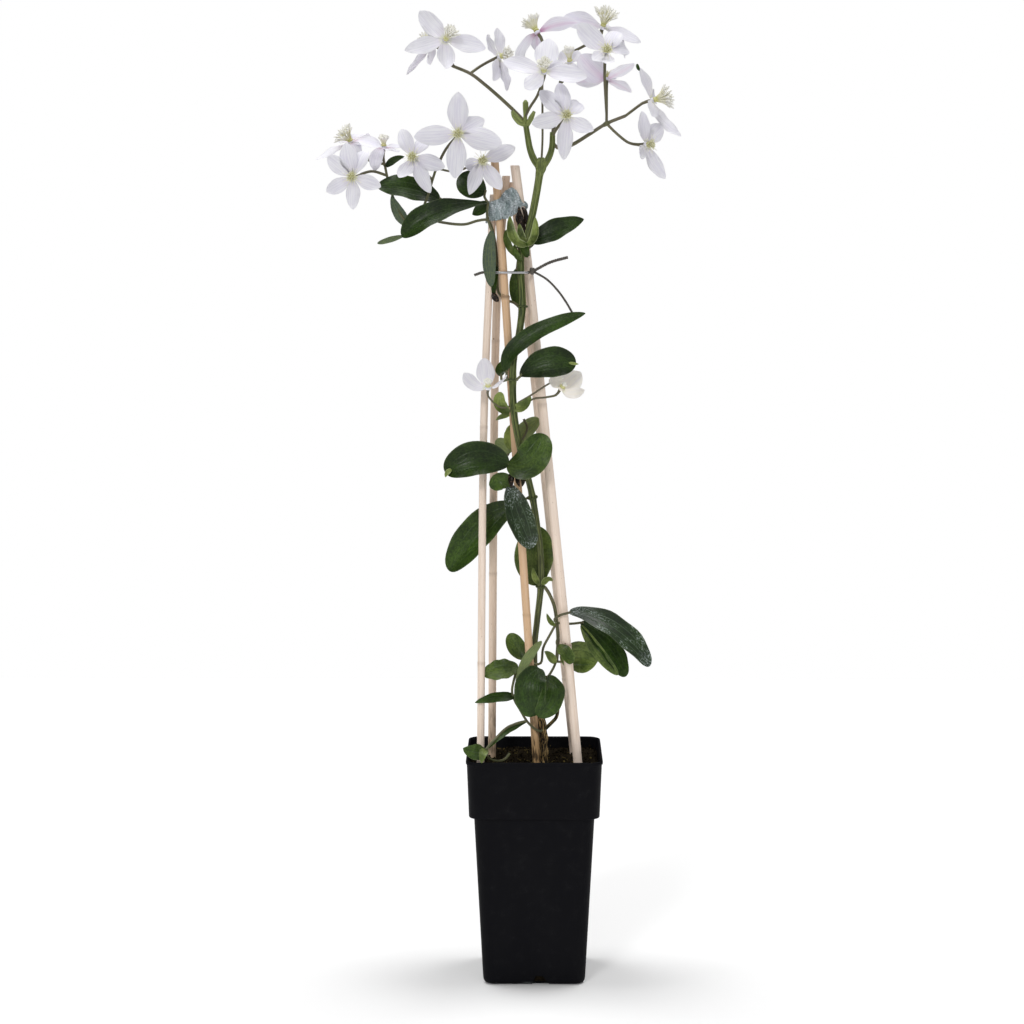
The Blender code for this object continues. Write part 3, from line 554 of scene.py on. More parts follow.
# %% [markdown]
# The stamens are cream threads that thicken to pale tips, over a yellow-green heart. Where
# the bloom faces us they are short and greener, and their mark says how green.

# %% Stamen thread
THREAD_CREAM = (0.88, 0.86, 0.70)
THREAD_TIP = (0.93, 0.92, 0.88)
THREAD_FOOT = (0.56, 0.55, 0.13)


def make_stamen_thread():
    thread = Recipe("stamen_thread", roughness=0.6)
    along, chance, green = thread.facts("along", "chance", "mark")
    speckle = thread.noise(2, 2, 2, detail=2)
    colour = thread.mix(along.step(0.0, 0.45), THREAD_FOOT, THREAD_CREAM)
    colour = thread.mix(along.step(0.65, 0.80), colour, THREAD_TIP)
    yellow = speckle.step(0.5, 0.8) * 0.25 + chance * 0.1 + green * 0.6
    colour = thread.mix(yellow, colour, THREAD_FOOT)
    return thread.finish(colour, speckle, 0.1)


stamen_thread = make_stamen_thread()
print("made", stamen_thread.name)

# %% [markdown]
# A clematis leaf is leather with three long veins. The upper side is dark and glossy, with
# fine puckers between the veins; the lower side is paler and dull. Young leaves are fresher
# green with pale rims, some old ones carry a whitish bloom with painted sheen and glints on
# it, and a few small ones are dried up. Each leaf has a mark that says which: -1 dried,
# 0 dark, 0.9 fresh and 2 frosted, with painted sheen.

# %% Leaf skin
LEAF_DARK = (0.006, 0.014, 0.004)
LEAF_GREEN = (0.042, 0.094, 0.008)
LEAF_FRESH = (0.30, 0.37, 0.10)
LEAF_RIM = (0.46, 0.52, 0.28)
LEAF_UNDER = (0.085, 0.115, 0.080)
LEAF_VEIN = (0.050, 0.100, 0.025)
LEAF_BLOOM_AND_SHEEN = (0.42, 0.47, 0.47)
LEAF_DRIED = (0.010, 0.007, 0.005)
LEAF_TAN = (0.16, 0.10, 0.06)
VEIN_PLACES = (0.0, -0.45, 0.45)


def make_leaf_skin():
    skin = Recipe("leaf_skin", specular_ior_level=0.22)
    along, across, under, mark = skin.facts("along", "across", "under", "mark")
    bow = (1 - (along * 2 - 1) ** 2) ** 0.5
    veins = skin.largest(*(across.line(bow * place, 0.05) for place in VEIN_PLACES))
    veins = veins * (1 - along.step(0.8, 1.0) * 0.7)
    broad = skin.noise(0.09, 0.5, 0.06, detail=3)
    fine = skin.noise(0.9, 1, 0.6, detail=4)
    net = skin.cells(0.42, 0.3, 0.24).step(0.0, 0.16)
    fresh = mark.line(0.9, 0.5)
    white = mark.step(1.2, 2.0)
    green = broad.step(0.3, 0.7) * 0.45 + mark.line(0.6, 0.6) * 0.4
    colour = skin.mix(green * (0.6 + along.step(0.1, 0.7) * 0.65), LEAF_DARK, LEAF_GREEN)
    colour = skin.mix(fresh * (0.25 + broad.step(0.35, 0.65) * 0.75), colour, LEAF_FRESH)
    colour = skin.mix((1 - net) * 0.02 + fine.step(0.5, 0.7) * 0.03, colour, LEAF_FRESH)
    colour = skin.mix(fine.step(0.54, 0.40) * 0.4 * (1 - fresh * 0.5), colour, LEAF_DARK)
    colour = skin.mix(veins * (0.15 + mark.step(0.0, 0.6) * 0.25), colour, LEAF_VEIN)
    # the frost is a whitish bloom and also painted sheen and glints: specks near the leaf's ends and over
    # it, and pale veins
    ends = ((along * 2 - 1) ** 2).step(0.3, 0.9)
    specks = fine.step(0.50, 0.62) * (broad.step(0.46, 0.62) * 0.6 + ends * 0.7)
    frost_and_sheen = 0.03 + ends * 0.05 + specks * 0.9 + veins * 0.06
    colour = skin.mix(white * frost_and_sheen, colour, LEAF_BLOOM_AND_SHEEN)
    side = abs(across)
    rim = side.step(0.72, 1.0) * mark.line(1.1, 0.35) * 0.8 + side.step(0.90, 1.0) * 0.10
    colour = skin.mix(rim, colour, LEAF_RIM)
    below = skin.mix(veins * 0.3 + (1 - net) * 0.12 + fresh * 0.4, LEAF_UNDER, LEAF_FRESH)
    colour = skin.mix(under, colour, below)
    dried = skin.mix(fine.step(0.52, 0.75), LEAF_DRIED, LEAF_TAN)
    colour = skin.mix(mark.step(0.0, -1.0), colour, dried)
    relief = net * 0.2 + fine * 0.12 - veins * (1 - under * 2) * 0.8
    return skin.finish(colour, relief, 0.3, 0.7, roughness=0.27 + under * 0.35 + fine * 0.10)


leaf_skin = make_leaf_skin()
print("made", leaf_skin.name)

# %% [markdown]
# Young stems are green and ribbed, and they turn brown-green with age and in full light.
# The stems' mark is 1 where they are brown, 0 where they are green and -1 on pale sheaths.

# %% Stem skin
STEM_GREEN = (0.026, 0.042, 0.009)
STEM_LIGHT = (0.27, 0.32, 0.10)
STEM_BROWN = (0.17, 0.14, 0.10)


def make_stem_skin():
    skin = Recipe("stem_skin", specular_ior_level=0.3)
    mark, rib = skin.facts("mark", "under")
    fibres = skin.noise(1.2, 1.2, 0.06, detail=4)
    patches = skin.noise(0.3, 0.3, 0.04, detail=2)
    pale = fibres.step(0.42, 0.62) * 0.45 + rib.step(0.6, 1.0) * 0.25 + mark.step(0.0, -1.0) * 0.55
    colour = skin.mix(pale, STEM_GREEN, STEM_LIGHT)
    brown = mark.step(0.0, 1.0) * (0.6 + patches.step(0.3, 0.7) * 0.4) * (0.75 + fibres * 0.25)
    colour = skin.mix(brown, colour, STEM_BROWN)
    return skin.finish(colour, fibres, 0.4, 0.8, roughness=0.38 + fibres * 0.2)


stem_skin = make_stem_skin()
print("made", stem_skin.name)

# %% [markdown]
# ## The pot
# The pot is a square with round corners, drawn through a profile of heights and half widths.
# A wider collar starts at 139 mm. A Boolean cuts the drain notches from the foot, because
# their walls must show the pot's real thickness.

# %% Pot sizes
POT_HEIGHT = 186.0
RIM_HALF = 55.0
BASE_HALF = 41.5
NECK_HALF = 48.5
COLLAR_FOOT_HALF = 52.6
COLLAR_FOOT = 139.0
WALL = 1.5
FLOOR = 2.4
CORNER_SHARE = 0.19
GAP = 0.3
NOTCH_DEPTH = 6.0
NOTCH_FOOT = (-2.2, 13.2)
NOTCH_TOP = (1.0, 6.8)
NOTCH_HEIGHT = 7.6
# The pot's two profiles, as heights and half widths: the outside upwards, then the inside
OUTSIDE = [
    (0, BASE_HALF - 4.2), (0.35, BASE_HALF - 2.6), (1.3, BASE_HALF - 1.2), (2.8, BASE_HALF - 0.35),
    (5.0, BASE_HALF + 0.05),
    (COLLAR_FOOT - 1.2, NECK_HALF), (COLLAR_FOOT - 0.3, NECK_HALF + 0.2),
    (COLLAR_FOOT, NECK_HALF + 0.6), (COLLAR_FOOT, COLLAR_FOOT_HALF - 0.9),
    (COLLAR_FOOT + 0.3, COLLAR_FOOT_HALF - 0.3), (COLLAR_FOOT + 1.0, COLLAR_FOOT_HALF),
    (POT_HEIGHT - 3.9, RIM_HALF - 0.8), (POT_HEIGHT - 3.2, RIM_HALF - 0.6),
    (POT_HEIGHT - 2.9, RIM_HALF - 0.1), (POT_HEIGHT - 2.5, RIM_HALF),
    (POT_HEIGHT - 0.8, RIM_HALF), (POT_HEIGHT - 0.25, RIM_HALF - 0.25),
    (POT_HEIGHT, RIM_HALF - 0.75)]
INSIDE = [
    (FLOOR, BASE_HALF - WALL - 1.2), (FLOOR + 1.5, BASE_HALF - WALL),
    (COLLAR_FOOT + WALL, NECK_HALF - WALL), (COLLAR_FOOT + WALL + 1.0, COLLAR_FOOT_HALF - WALL),
    (POT_HEIGHT - 1.6, RIM_HALF - WALL - 0.4), (POT_HEIGHT - 0.5, RIM_HALF - WALL)]


def rounded_square(half, z, corner_steps=10, side_steps=6):
    """A square ring with round corners, turning left seen from above."""
    radius = half * CORNER_SHARE
    centre = half - radius
    angles = np.linspace(0, math.pi / 2, corner_steps + 1)
    corner = centre + radius * np.stack([np.cos(angles), np.sin(angles)], -1)
    side = np.linspace(centre, -centre, side_steps + 1)[1:-1]
    quarter = np.concatenate([corner, np.stack([side, np.full_like(side, half)], -1)])
    ring = []
    for _ in range(4):
        ring.append(quarter)
        quarter = np.stack([-quarter[:, 1], quarter[:, 0]], -1)
    ring = np.concatenate(ring)
    return np.column_stack([ring, np.full(len(ring), z)])


print("rings in the pot's skin", len(OUTSIDE + INSIDE))

# %% [markdown]
# The plastic is black, matt and a little dusty. Dust, drips and scuffs are noise at several
# scales. It is read from the place in the solid, so it runs on round the pot's corners.

# %% Pot plastic
POT_BLACK = (0.0034, 0.0034, 0.0048)
POT_DUST = (0.0060, 0.0060, 0.0072)
POT_SCUFF = (0.016, 0.016, 0.017)
SCUFF_GREY = (0.10, 0.11, 0.11)
SCUFF_PLACE = -5.0
SCUFF_HALF = 7.0
SCUFF_HEIGHT = 1.6


def make_pot_plastic():
    plastic = Recipe("pot_plastic", solid=True, specular_ior_level=0.06)
    scuffs = plastic.noise(0.12, 0.12, 0.12, detail=4)
    grit = plastic.noise(1.6, 1.6, 1.6, detail=3)
    dust = plastic.noise(0.03, 0.03, 0.02, detail=3)
    drips = plastic.noise(0.25, 0.25, 0.012, detail=3)
    dusty = dust.step(0.45, 0.75) * 0.5 + drips.step(0.55, 0.8) * 0.35
    colour = plastic.mix(dusty, POT_BLACK, POT_DUST)
    colour = plastic.mix((scuffs * grit).step(0.30, 0.42) * 0.4, colour, POT_SCUFF)
    spot = plastic.place(1, 1, 1)
    across = plastic.node("ShaderNodeSeparateXYZ", None, {0: spot}, output=0)
    height = plastic.node("ShaderNodeSeparateXYZ", None, {0: spot}, output=2)
    foot = across.line(SCUFF_PLACE, SCUFF_HALF) * height.line(SCUFF_HEIGHT, SCUFF_HEIGHT)
    rubbed = foot * grit.step(0.35, 0.6)
    colour = plastic.mix(rubbed * 0.8, colour, SCUFF_GREY)
    dull = 0.42 + dust * 0.18 + grit * 0.08
    return plastic.finish(colour, grit * 0.4 + scuffs, 0.12, 0.5, roughness=dull)


pot_plastic = make_pot_plastic()
print("made", pot_plastic.name)

# %% Drain notches
POT_SHARP = 40


def cut(thing, cutters):
    """Cuts the cutters' shapes, in millimetres, from the thing."""
    crowd = bpy.data.collections.new("cutters")
    for rings in cutters:
        cutter = Bundle()
        cutter.loft(rings, np.zeros(3))
        crowd.objects.link(bpy.data.objects.new("cutter", cutter.mesh("cutter")))
    boolean = thing.modifiers.new("notches", "BOOLEAN")
    boolean.operation = "DIFFERENCE"
    boolean.operand_type = "COLLECTION"
    boolean.collection = crowd
    bpy.context.view_layer.update()
    evaluated = thing.evaluated_get(bpy.context.evaluated_depsgraph_get())
    mesh = bpy.data.meshes.new_from_object(evaluated)
    thing.modifiers.clear()
    thing.data = mesh
    shade(mesh, POT_SHARP)
    for cutter in list(crowd.objects):
        bpy.data.objects.remove(cutter)
    bpy.data.collections.remove(crowd)


def notch_rings():
    """The four-sided cutters under the middle of each side."""
    front = -BASE_HALF - 1
    back = front + NOTCH_DEPTH
    rings = [[(left, front, z), (right, front, z), (right, back, z), (left, back, z)]
             for (left, right), z in ((NOTCH_FOOT, -1), (NOTCH_TOP, NOTCH_HEIGHT))]
    turns = [np.array(Matrix.Rotation(math.pi / 2 * quarter, 3, "Z")) for quarter in range(4)]
    return [np.array(rings) @ turn.T for turn in turns]


print("notches", len(notch_rings()))


# %% Pot
def make_pot():
    rings = [rounded_square(half, z) for z, half in OUTSIDE + INSIDE[::-1]]
    pot = Bundle()
    pot.loft(np.array(rings), np.zeros(3))
    cut(pot.piece("pot_body", pot_plastic, "pot", "pot"), notch_rings())


make_pot()
print("pot", 2 * RIM_HALF, "mm across its rim")

# %% [markdown]
# ## The compost
# The compost's top is uneven, and loose crumbs and bits of bark lie on it. The crumbs are
# small lumps of their own, since a bump map would look flat along the rim.

# %% Crumbs
SOIL_TOP = 177.0
CRUMB_RINGS = ((-0.8, 0.45), (-0.3, 0.95), (0.3, 0.9), (0.8, 0.4))


def ground(x, y):
    wide = 0.9 * np.sin(0.41 * x + 2) * np.cos(0.37 * y) + 0.7 * np.sin(0.93 * x - 0.71 * y)
    return SOIL_TOP + wide + 0.5 * np.sin(1.9 * x + 1.3 * y) * np.sin(1.1 * x - 2.3 * y)


def lump(bundle, centre, size, dice, mark):
    """A crumb: four uneven rings round a random axis."""
    turn = np.linspace(0, 2 * math.pi, 6, endpoint=False) + dice.uniform(0, 6)
    rings = []
    for height, share in CRUMB_RINGS:
        radius = size * share * dice.uniform(0.7, 1.15, 6)
        ring = (radius * np.cos(turn), radius * np.sin(turn), height * size)
        rings.append(np.stack(np.broadcast_arrays(*ring), -1))
    tilt = np.array(Matrix.Rotation(dice.uniform(0, 6), 3, Vector(dice.normal(size=3))))
    rings = np.array(rings) @ tilt.T * dice.uniform(0.6, 1.3, 3) + centre
    bundle.loft(rings, rings, chance=dice.random(), mark=mark)


print("ground in the middle", round(ground(0, 0), 1), "mm up")

# %% Compost mix
SOIL_DARK = (0.0055, 0.0042, 0.0030)
SOIL_BROWN = (0.015, 0.011, 0.006)
SOIL_PALE = (0.17, 0.13, 0.045)


def make_compost_mix():
    mix = Recipe("compost_mix", solid=True, roughness=0.95, specular_ior_level=0.02)
    lumps = mix.noise(0.5, 0.5, 0.5, detail=6)
    grit = mix.noise(1.8, 1.8, 1.8, detail=4)
    colour = mix.mix(lumps.step(0.35, 0.7), SOIL_DARK, SOIL_BROWN)
    pale, = mix.facts("mark")
    colour = mix.mix(pale * 0.5 + grit.step(0.62, 0.74) * 0.5, colour, SOIL_PALE)
    return mix.finish(colour, lumps + grit * 0.6, 1.2)


compost_mix = make_compost_mix()
print("made", compost_mix.name)

# %% Compost
SOIL_RIM = COLLAR_FOOT_HALF - WALL + 1.4
SOIL_STEPS = (6, 16)
SOIL_RINGS = 34
EDGE_DROP = 1.2
EDGE_START = 0.93
EDGE_WIDTH = 0.055
CRUMBS = 1100
CRUMB_SIZES = (0.4, 1.2)
DARK_CRUMBS = 0.90
TWIGS = 60
TWIG_LENGTHS = (2, 6)
TWIG_RADII = (0.2, 0.45)
DARK_TWIGS = 0.5


def make_compost():
    dice = np.random.default_rng(5)
    profile = [(FLOOR + GAP, INSIDE[0][1]), *INSIDE[:4], (SOIL_TOP - 1.5, SOIL_RIM)]
    rings = [rounded_square(half - GAP, z, *SOIL_STEPS) for z, half in profile]
    for share in np.linspace(EDGE_START + EDGE_WIDTH, 0.02, SOIL_RINGS):
        ring = rounded_square(SOIL_RIM * share, 0, *SOIL_STEPS)
        ring[:, 2] = ground(ring[:, 0], ring[:, 1]) - EDGE_DROP * max(0, share - EDGE_START) / EDGE_WIDTH
        rings.append(ring)
    compost = Bundle()
    compost.loft(np.array(rings), np.zeros(3))
    for _ in range(CRUMBS):
        x, y = dice.uniform(-SOIL_RIM + 2, SOIL_RIM - 2, 2)
        size = dice.uniform(*CRUMB_SIZES)
        centre = np.array([x, y, ground(x, y) + size * 0.3])
        lump(compost, centre, size, dice, mark=float(dice.random() > DARK_CRUMBS))
    for _ in range(TWIGS):
        x, y = dice.uniform(-SOIL_RIM + 6, SOIL_RIM - 6, 2)
        way = np.array([*dice.normal(size=2), dice.uniform(-0.1, 0.3)])
        start = np.array([x, y, ground(x, y) + 0.6])
        stick = start + unit(way) * dice.uniform(*TWIG_LENGTHS) * np.linspace(0, 1, 3)[:, None]
        radius = dice.uniform(*TWIG_RADII)
        tube(compost, stick, radius, sides=5, mark=float(dice.random() > DARK_TWIGS))
    compost.piece("compost", compost_mix, "soil", "soil", smooth_angle=50)


make_compost()
print("crumbs", CRUMBS, "twigs", TWIGS)

# %% [markdown]
# ## The canes
# A bamboo cane is a tube with a ring at each joint, and fine fibres along it. Its cut top
# shows the hollow inside, painted darker further down as shade. The wall turns in at the top
# and goes down again for 8 mm.

# %% Cane lines
# Each cane: its points, radius, buried length, and its joints' heights with how strong each is
CANES = {
    "cane_front_left": (
        [(-43.5, -30, 177), (-41, -18, 441), (-36, -8, 575), (-33, -4, 637)], 3.0, 32,
        {262: 0.3, 452: 0.25}),
    "cane_back_left": (
        [(-35, 14, 177), (-33, 9, 439), (-30, 6, 565), (-23, 4, 652)], 3.2, 80, {330: 0.3, 520: 0.25}),
    "cane_centre": (
        [(2, -18, 177), (-10, -17, 354), (-25, -15, 575), (-32, -10, 663)], 3.2, 80, {300: 0.25, 556: 1.0}),
    "cane_right": (
        [(35.5, -28, 177), (24, -20, 296), (9, -14, 441), (-5, -2, 575), (-16, -3, 660)],
        3.7, 52, {276: 0.9, 470: 0.25}),
    "cane_back_right": (
        [(33, 28, 177), (-9, 8, 573), (-18, 8, 647)], 3.5, 52, {240: 0.3, 430: 0.3}),
}


def cane_line(name):
    """Points along a cane from its buried end to its top."""
    points, _, buried, _ = CANES[name]
    line = smooth(points, 8)
    return np.concatenate([(line[0] - unit(line[1] - line[0]) * buried)[None], line])


def between(line, marks, wanted):
    """Places on a line whose points have rising marks, at the wanted mark or marks."""
    return np.stack([np.interp(wanted, marks, line[:, axis]) for axis in range(3)], -1)


def at_height(line, z):
    """Where a rising line is at a height or at some heights."""
    return between(line, line[:, 2], z)


for cane_name in CANES:
    print(cane_name, round(lengths(cane_line(cane_name))[-1]), "mm")

# %% [markdown]
# Dry bamboo is straw-coloured, with fine fibres, specks and a dark line at each joint. Two of
# these canes are older and more orange, and the wet compost has stained their feet. The mesh
# says how old each is and how far up the stain goes, so one material does for all five.

# %% Bamboo
CANE_PALE = (0.96, 0.81, 0.69)
CANE_TAN = (0.62, 0.44, 0.29)
CANE_ORANGE = (0.64, 0.38, 0.17)
CANE_RING_AND_HOLLOW_SHADE = (0.22, 0.14, 0.08)
CANE_FOOT = (0.46, 0.28, 0.11)
CANE_STAIN = (0.045, 0.028, 0.014)


def make_bamboo():
    bamboo = Recipe("bamboo", specular_ior_level=0.3)
    mark, hollow_shade, tone, stain = bamboo.facts("mark", "under", "chance", "along")
    fibres = bamboo.noise(1.5, 1.5, 0.02, detail=4)
    patches = bamboo.noise(0.25, 0.25, 0.02, detail=4)
    specks = bamboo.noise(0.9, 0.9, 0.35, detail=3)
    colour = bamboo.mix(fibres.step(0.42, 0.7) * 0.3, CANE_PALE, CANE_TAN)
    colour = bamboo.mix(patches.step(0.52, 0.75) * 0.4, colour, CANE_TAN)
    colour = bamboo.mix(tone * (0.55 + fibres * 0.35), colour, CANE_ORANGE)
    rot = bamboo.noise(0.6, 0.6, 0.10, detail=4)
    colour = bamboo.mix(stain * 0.75, colour, CANE_FOOT)
    colour = bamboo.mix(stain * rot.step(0.48, 0.60) * 0.9, colour, CANE_STAIN)
    colour = bamboo.mix(specks.step(0.66, 0.74) * 0.5 + mark * 0.9, colour, CANE_RING_AND_HOLLOW_SHADE)
    # painted shade: the hollow top is darkened inside, more so further down
    colour = bamboo.mix(hollow_shade, colour, CANE_RING_AND_HOLLOW_SHADE)
    return bamboo.finish(colour, fibres - mark * 0.8, 0.25, 0.8, roughness=0.5 + fibres * 0.2)


bamboo_skin = make_bamboo()
print("made", bamboo_skin.name)

# %% Canes
# A joint's outline: heights beside it, and how far it swells there
JOINT_PROFILE = ((-14, -0.05), (-6, 0.0), (-3, 0.12), (-1.2, 0.30), (-0.5, 0.52), (0.2, 0.55),
                 (0.7, 0.25), (1.0, -0.12), (1.8, -0.15), (4, -0.05))
# The hollow top: how far below the cane's end, share of its radius, and how much painted shade darkens it
HOLLOW_TOP_AND_SHADE = ((0, 0.55, 0.2), (0.6, 0.5, 0.8), (8, 0.45, 1))
CANE_TONE = {"cane_centre": 1.0, "cane_back_left": 0.25}
STAINED_FEET = {"cane_centre": 1.0, "cane_back_left": 0.6}
STAIN_HEIGHT = 45
CANE_SIDES = 22
RING_SPACING = 9
JOINT_ROOM = 15
JOINT_LINE = 2.2


def cane_rings(bottom, top, radius, joints):
    """Each ring's height, radius, share of a joint's dark line and share of painted shade in the hollow
    top.
    """
    swells = {z: 0.0 for z in np.arange(bottom, top - 2, RING_SPACING)
              if all(abs(z - joint) > JOINT_ROOM for joint in joints)}
    swells.update({top - 0.9: 0.0, top: -0.25})
    for joint, size in joints.items():
        swells.update({joint + offset: swell * size for offset, swell in JOINT_PROFILE})
    rows = []
    for z in sorted(swells):
        lines = (size * max(0, 1 - abs(z + 0.2 - joint) / JOINT_LINE) for joint, size in joints.items())
        rows.append((z, radius + swells[z], max(lines), 0))
    rows += [(top - depth, radius * share, 0, dark) for depth, share, dark in HOLLOW_TOP_AND_SHADE]
    return np.array(rows).T


def make_cane(name, material):
    line = cane_line(name)
    _, radius, _, joints = CANES[name]
    z, radii, mark, hollow_shade = cane_rings(line[0, 2], line[-1, 2], radius, joints)
    turn = np.linspace(0, 2 * math.pi, CANE_SIDES, endpoint=False)
    out = np.stack([np.cos(turn), np.sin(turn), 0 * turn], -1) * radii[:, None, None]
    grain = out + np.stack([0 * z, 0 * z, z + 10 * radius], -1)[:, None]
    stain = STAINED_FEET.get(name, 0.0) * np.clip(1.3 - (z - SOIL_TOP) / STAIN_HEIGHT, 0, 1)
    cane = Bundle()
    cane.loft(at_height(line, z)[:, None] + out, grain, mark=mark[:, None], under=hollow_shade[:, None],
              chance=CANE_TONE.get(name, 0.0), along=stain[:, None])
    dice = np.random.default_rng(round(radius * 10))
    for joint in joints:
        side = dice.uniform(0, 6.3)
        bud = at_height(line, joint + 1.5) + radius * np.array([math.cos(side), math.sin(side), 0])
        lump(cane, bud, 1.0, dice, mark=0.9)
    cane.piece(name + "_bamboo", material, "cane", name)


for cane_name in CANES:
    make_cane(cane_name, bamboo_skin)
print("canes", len(CANES))

# %% [markdown]
# ## The ties
# The canes and the stem are held by a coated wire, its ends twisted together in front. Higher
# up, a strip of crumpled tape goes round the cane tops. Both follow the line that a tight
# belt takes round upright rods: at each angle it touches the rod that lies furthest out.

# %% A belt round rods
MAIN_STEM = [
    (5, -5.4, 213), (1, 0, 235), (0, 2, 269), (2, 0, 291), (5, -4, 320), (5, -7, 347),
    (2, -12, 372), (-2, -18, 397), (-7, -24, 418), (-13, -27, 442), (-17, -26, 470),
    (-17, -24.5, 504), (-13, -20, 523), (-10, -15, 548), (-11, -13.5, 572), (-11, -14, 591),
    (-7, -14, 602), (-2, -13, 621), (2, -12, 642), (5, -12, 662),
]
STEM_RADII = (2.3, 2.9)
BELT_ANGLES = 240
stem_line = smooth(MAIN_STEM, 4)


def stem_radius(z):
    return np.interp(z, stem_line[[0, -1], 2], STEM_RADII)


def rods_at(z, with_stem):
    rods = [(at_height(cane_line(name), z), CANES[name][1]) for name in CANES]
    if with_stem:
        rods.append((at_height(stem_line, z), stem_radius(z)))
    return rods


def belt(z, rods, clearance, count):
    """The closed line of a band pulled round rods of (centre, radius), evenly spaced."""
    line = []
    for turn in np.linspace(0, 2 * math.pi, BELT_ANGLES, endpoint=False):
        out = np.array([math.cos(turn), math.sin(turn), 0])
        centre, radius = max(rods, key=lambda rod: rod[0].dot(out) + rod[1])
        line.append(centre + out * (radius + clearance))
    line = np.array([*line, line[0]])
    run = np.linspace(0, lengths(line)[-1], count, endpoint=False)
    line = between(line, lengths(line), run)
    line[:, 2] = z
    return line


print("stem", round(2 * STEM_RADII[0], 1), "mm thick at its foot and", 2 * STEM_RADII[1], "at its top")

# %% [markdown]
# The wire has a dark worn coat, and along its front a painted highlight makes a bright silver
# strand. Each twisted end is two thin tubes wound round one line, because the strands catch
# the light one by one.

# %% Wire coat
WIRE_DARK = (0.085, 0.075, 0.062)
WIRE_WORN = (0.19, 0.165, 0.14)
WIRE_HIGHLIGHT = (0.55, 0.56, 0.58)


def make_wire_coat():
    coat = Recipe("wire_coat", specular_ior_level=0.5)
    front_highlight, = coat.facts("mark")
    wear = coat.noise(0.8, 0.8, 0.3, detail=3)
    scratches = coat.noise(2.5, 2.5, 0.3, detail=3)
    dark = coat.mix(wear.step(0.5, 0.75) * 0.4, WIRE_DARK, WIRE_WORN)
    # painted highlight: along the ring's front the coat is painted bright silver and made partly metallic
    colour = coat.mix(front_highlight * (0.75 + wear * 0.25), dark, WIRE_HIGHLIGHT)
    dull = 0.28 + scratches * 0.25
    return coat.finish(colour, scratches, 0.12, 0.6, metallic=front_highlight * 0.6, roughness=dull)


wire_coat = make_wire_coat()
print("made", wire_coat.name)

# %% Wire
TIE_HEIGHT = 575.0
TIE_WIRE = 0.9
KNOT = (-1.5, -13.2, 576)
KNOT_WIRE = 0.85
TWISTED_END = [(-5.5, -12.8, 575), (-1.5, -12.5, 576), (12, -13, 583), (26, -14, 587)]
LEFT_END = [(-36, -12.6, 575), (-42, -13.6, 575), (-48, -13, 573)]
THIN_END = [(-1.5, -12.5, 576), (9.7, -15, 569.5), (18.7, -15, 560.3), (25.1, -15, 551.3), (30, -15, 543)]
# Each end: its points, its radius and how far one turn of its strands takes
WIRE_ENDS = ((TWISTED_END, 1.3, 3.2), (LEFT_END, 1.2, 3.2), (THIN_END, 1.0, 2.6))


def twisted(bundle, line, radius, pitch):
    """Two strands wound round each other along a line."""
    across, side = carried_frames(line)
    for start in (0, 0.5):
        turn = (2 * math.pi * (lengths(line) / pitch + start))[:, None]
        path = line + (across * np.cos(turn) + side * np.sin(turn)) * radius * 0.5
        tube(bundle, path, radius * 0.56, sides=8)


def make_wire():
    """The ring, its twisted ends and the knot; what comes back is the ring's length."""
    wire = Bundle()
    ring = belt(TIE_HEIGHT, rods_at(TIE_HEIGHT, True), GAP + TIE_WIRE + 0.3, 130)
    # painted highlight: how much of the ring, along its front, is painted bright silver
    front_highlight = np.clip((-8 - ring[:, 1]) / 4, 0, 1) * np.clip((ring[:, 0] + 34) / 5, 0, 1)
    tube(wire, ring, TIE_WIRE, sides=12, closed=True, mark=front_highlight[:, None])
    for points, radius, pitch in WIRE_ENDS:
        twisted(wire, smooth(points, 0.6), radius, pitch)
    turn = np.linspace(0, 5 * math.pi, 70)
    coil = np.stack([1.6 * turn / 15 - 1.2, 1.9 * np.cos(turn), 2.1 * np.sin(turn)], -1)
    tube(wire, coil * (1.6, 1, 1) + KNOT, KNOT_WIRE, sides=8)
    wire.piece("wire_strands", wire_coat, "wire", "wire_tie")
    return lengths(np.array([*ring, ring[0]]))[-1]


print("wire round the canes", round(make_wire()), "mm, and ends", len(WIRE_ENDS))

# %% [markdown]
# The tape is a thin crumpled film with a dull metal sheen. A grid of levels is pulled round
# the canes and dented outwards, and random numbers smoothed along the strip tear its edges.

# %% Tape film
TAPE_GREEN = (0.30, 0.37, 0.38)
TAPE_PALE = (0.62, 0.68, 0.71)
TAPE_CREASE_SHADE = (0.12, 0.17, 0.17)


def make_tape_film():
    film = Recipe("tape_film", specular_ior_level=0.6)
    creases = film.cells(0.28, 0.28, 0.40)
    soft = film.noise(0.22, 0.22, 0.09, detail=1)
    colour = film.mix(soft.step(0.35, 0.65), TAPE_GREEN, TAPE_PALE)
    # painted shade: the crease lines between the cells are darkened
    colour = film.mix(creases.step(0.10, 0.0) * 0.5, colour, TAPE_CREASE_SHADE)
    relief = creases.step(0.0, 0.5) + soft * 0.8
    return film.finish(colour, relief, 0.9, metallic=soft * 0.35, roughness=0.22 + soft * 0.3)


tape_film = make_tape_film()
print("made", tape_film.name)

# %% Tape band
# Its lower and upper edge in front, as (place across, height); behind, it is a narrow strip
TAPE_LOW = [(-37, 615), (-24, 617.5), (-17, 621), (-12, 626.5), (-8, 627)]
TAPE_HIGH = [(-37, 631), (-28, 633.5), (-24, 638), (-17, 643), (-14, 640), (-11, 632), (-8, 630)]
TAPE_BEHIND = (624.0, 631.0)
TAPE_THICKNESS = 0.5
TAPE_LEVELS = np.arange(610.0, 650.0, 3)
TAPE_STEPS = 150
TAPE_ROWS = 12
TAPE_RUN = 110
TAPE_TEAR = 0.9
# A dent starts where the smoothed chance passes a level, grows by a gain and ends at a depth
DENT_LEVEL, DENT_GAIN, DENT_DEPTH = 0.42, 9, 1.6


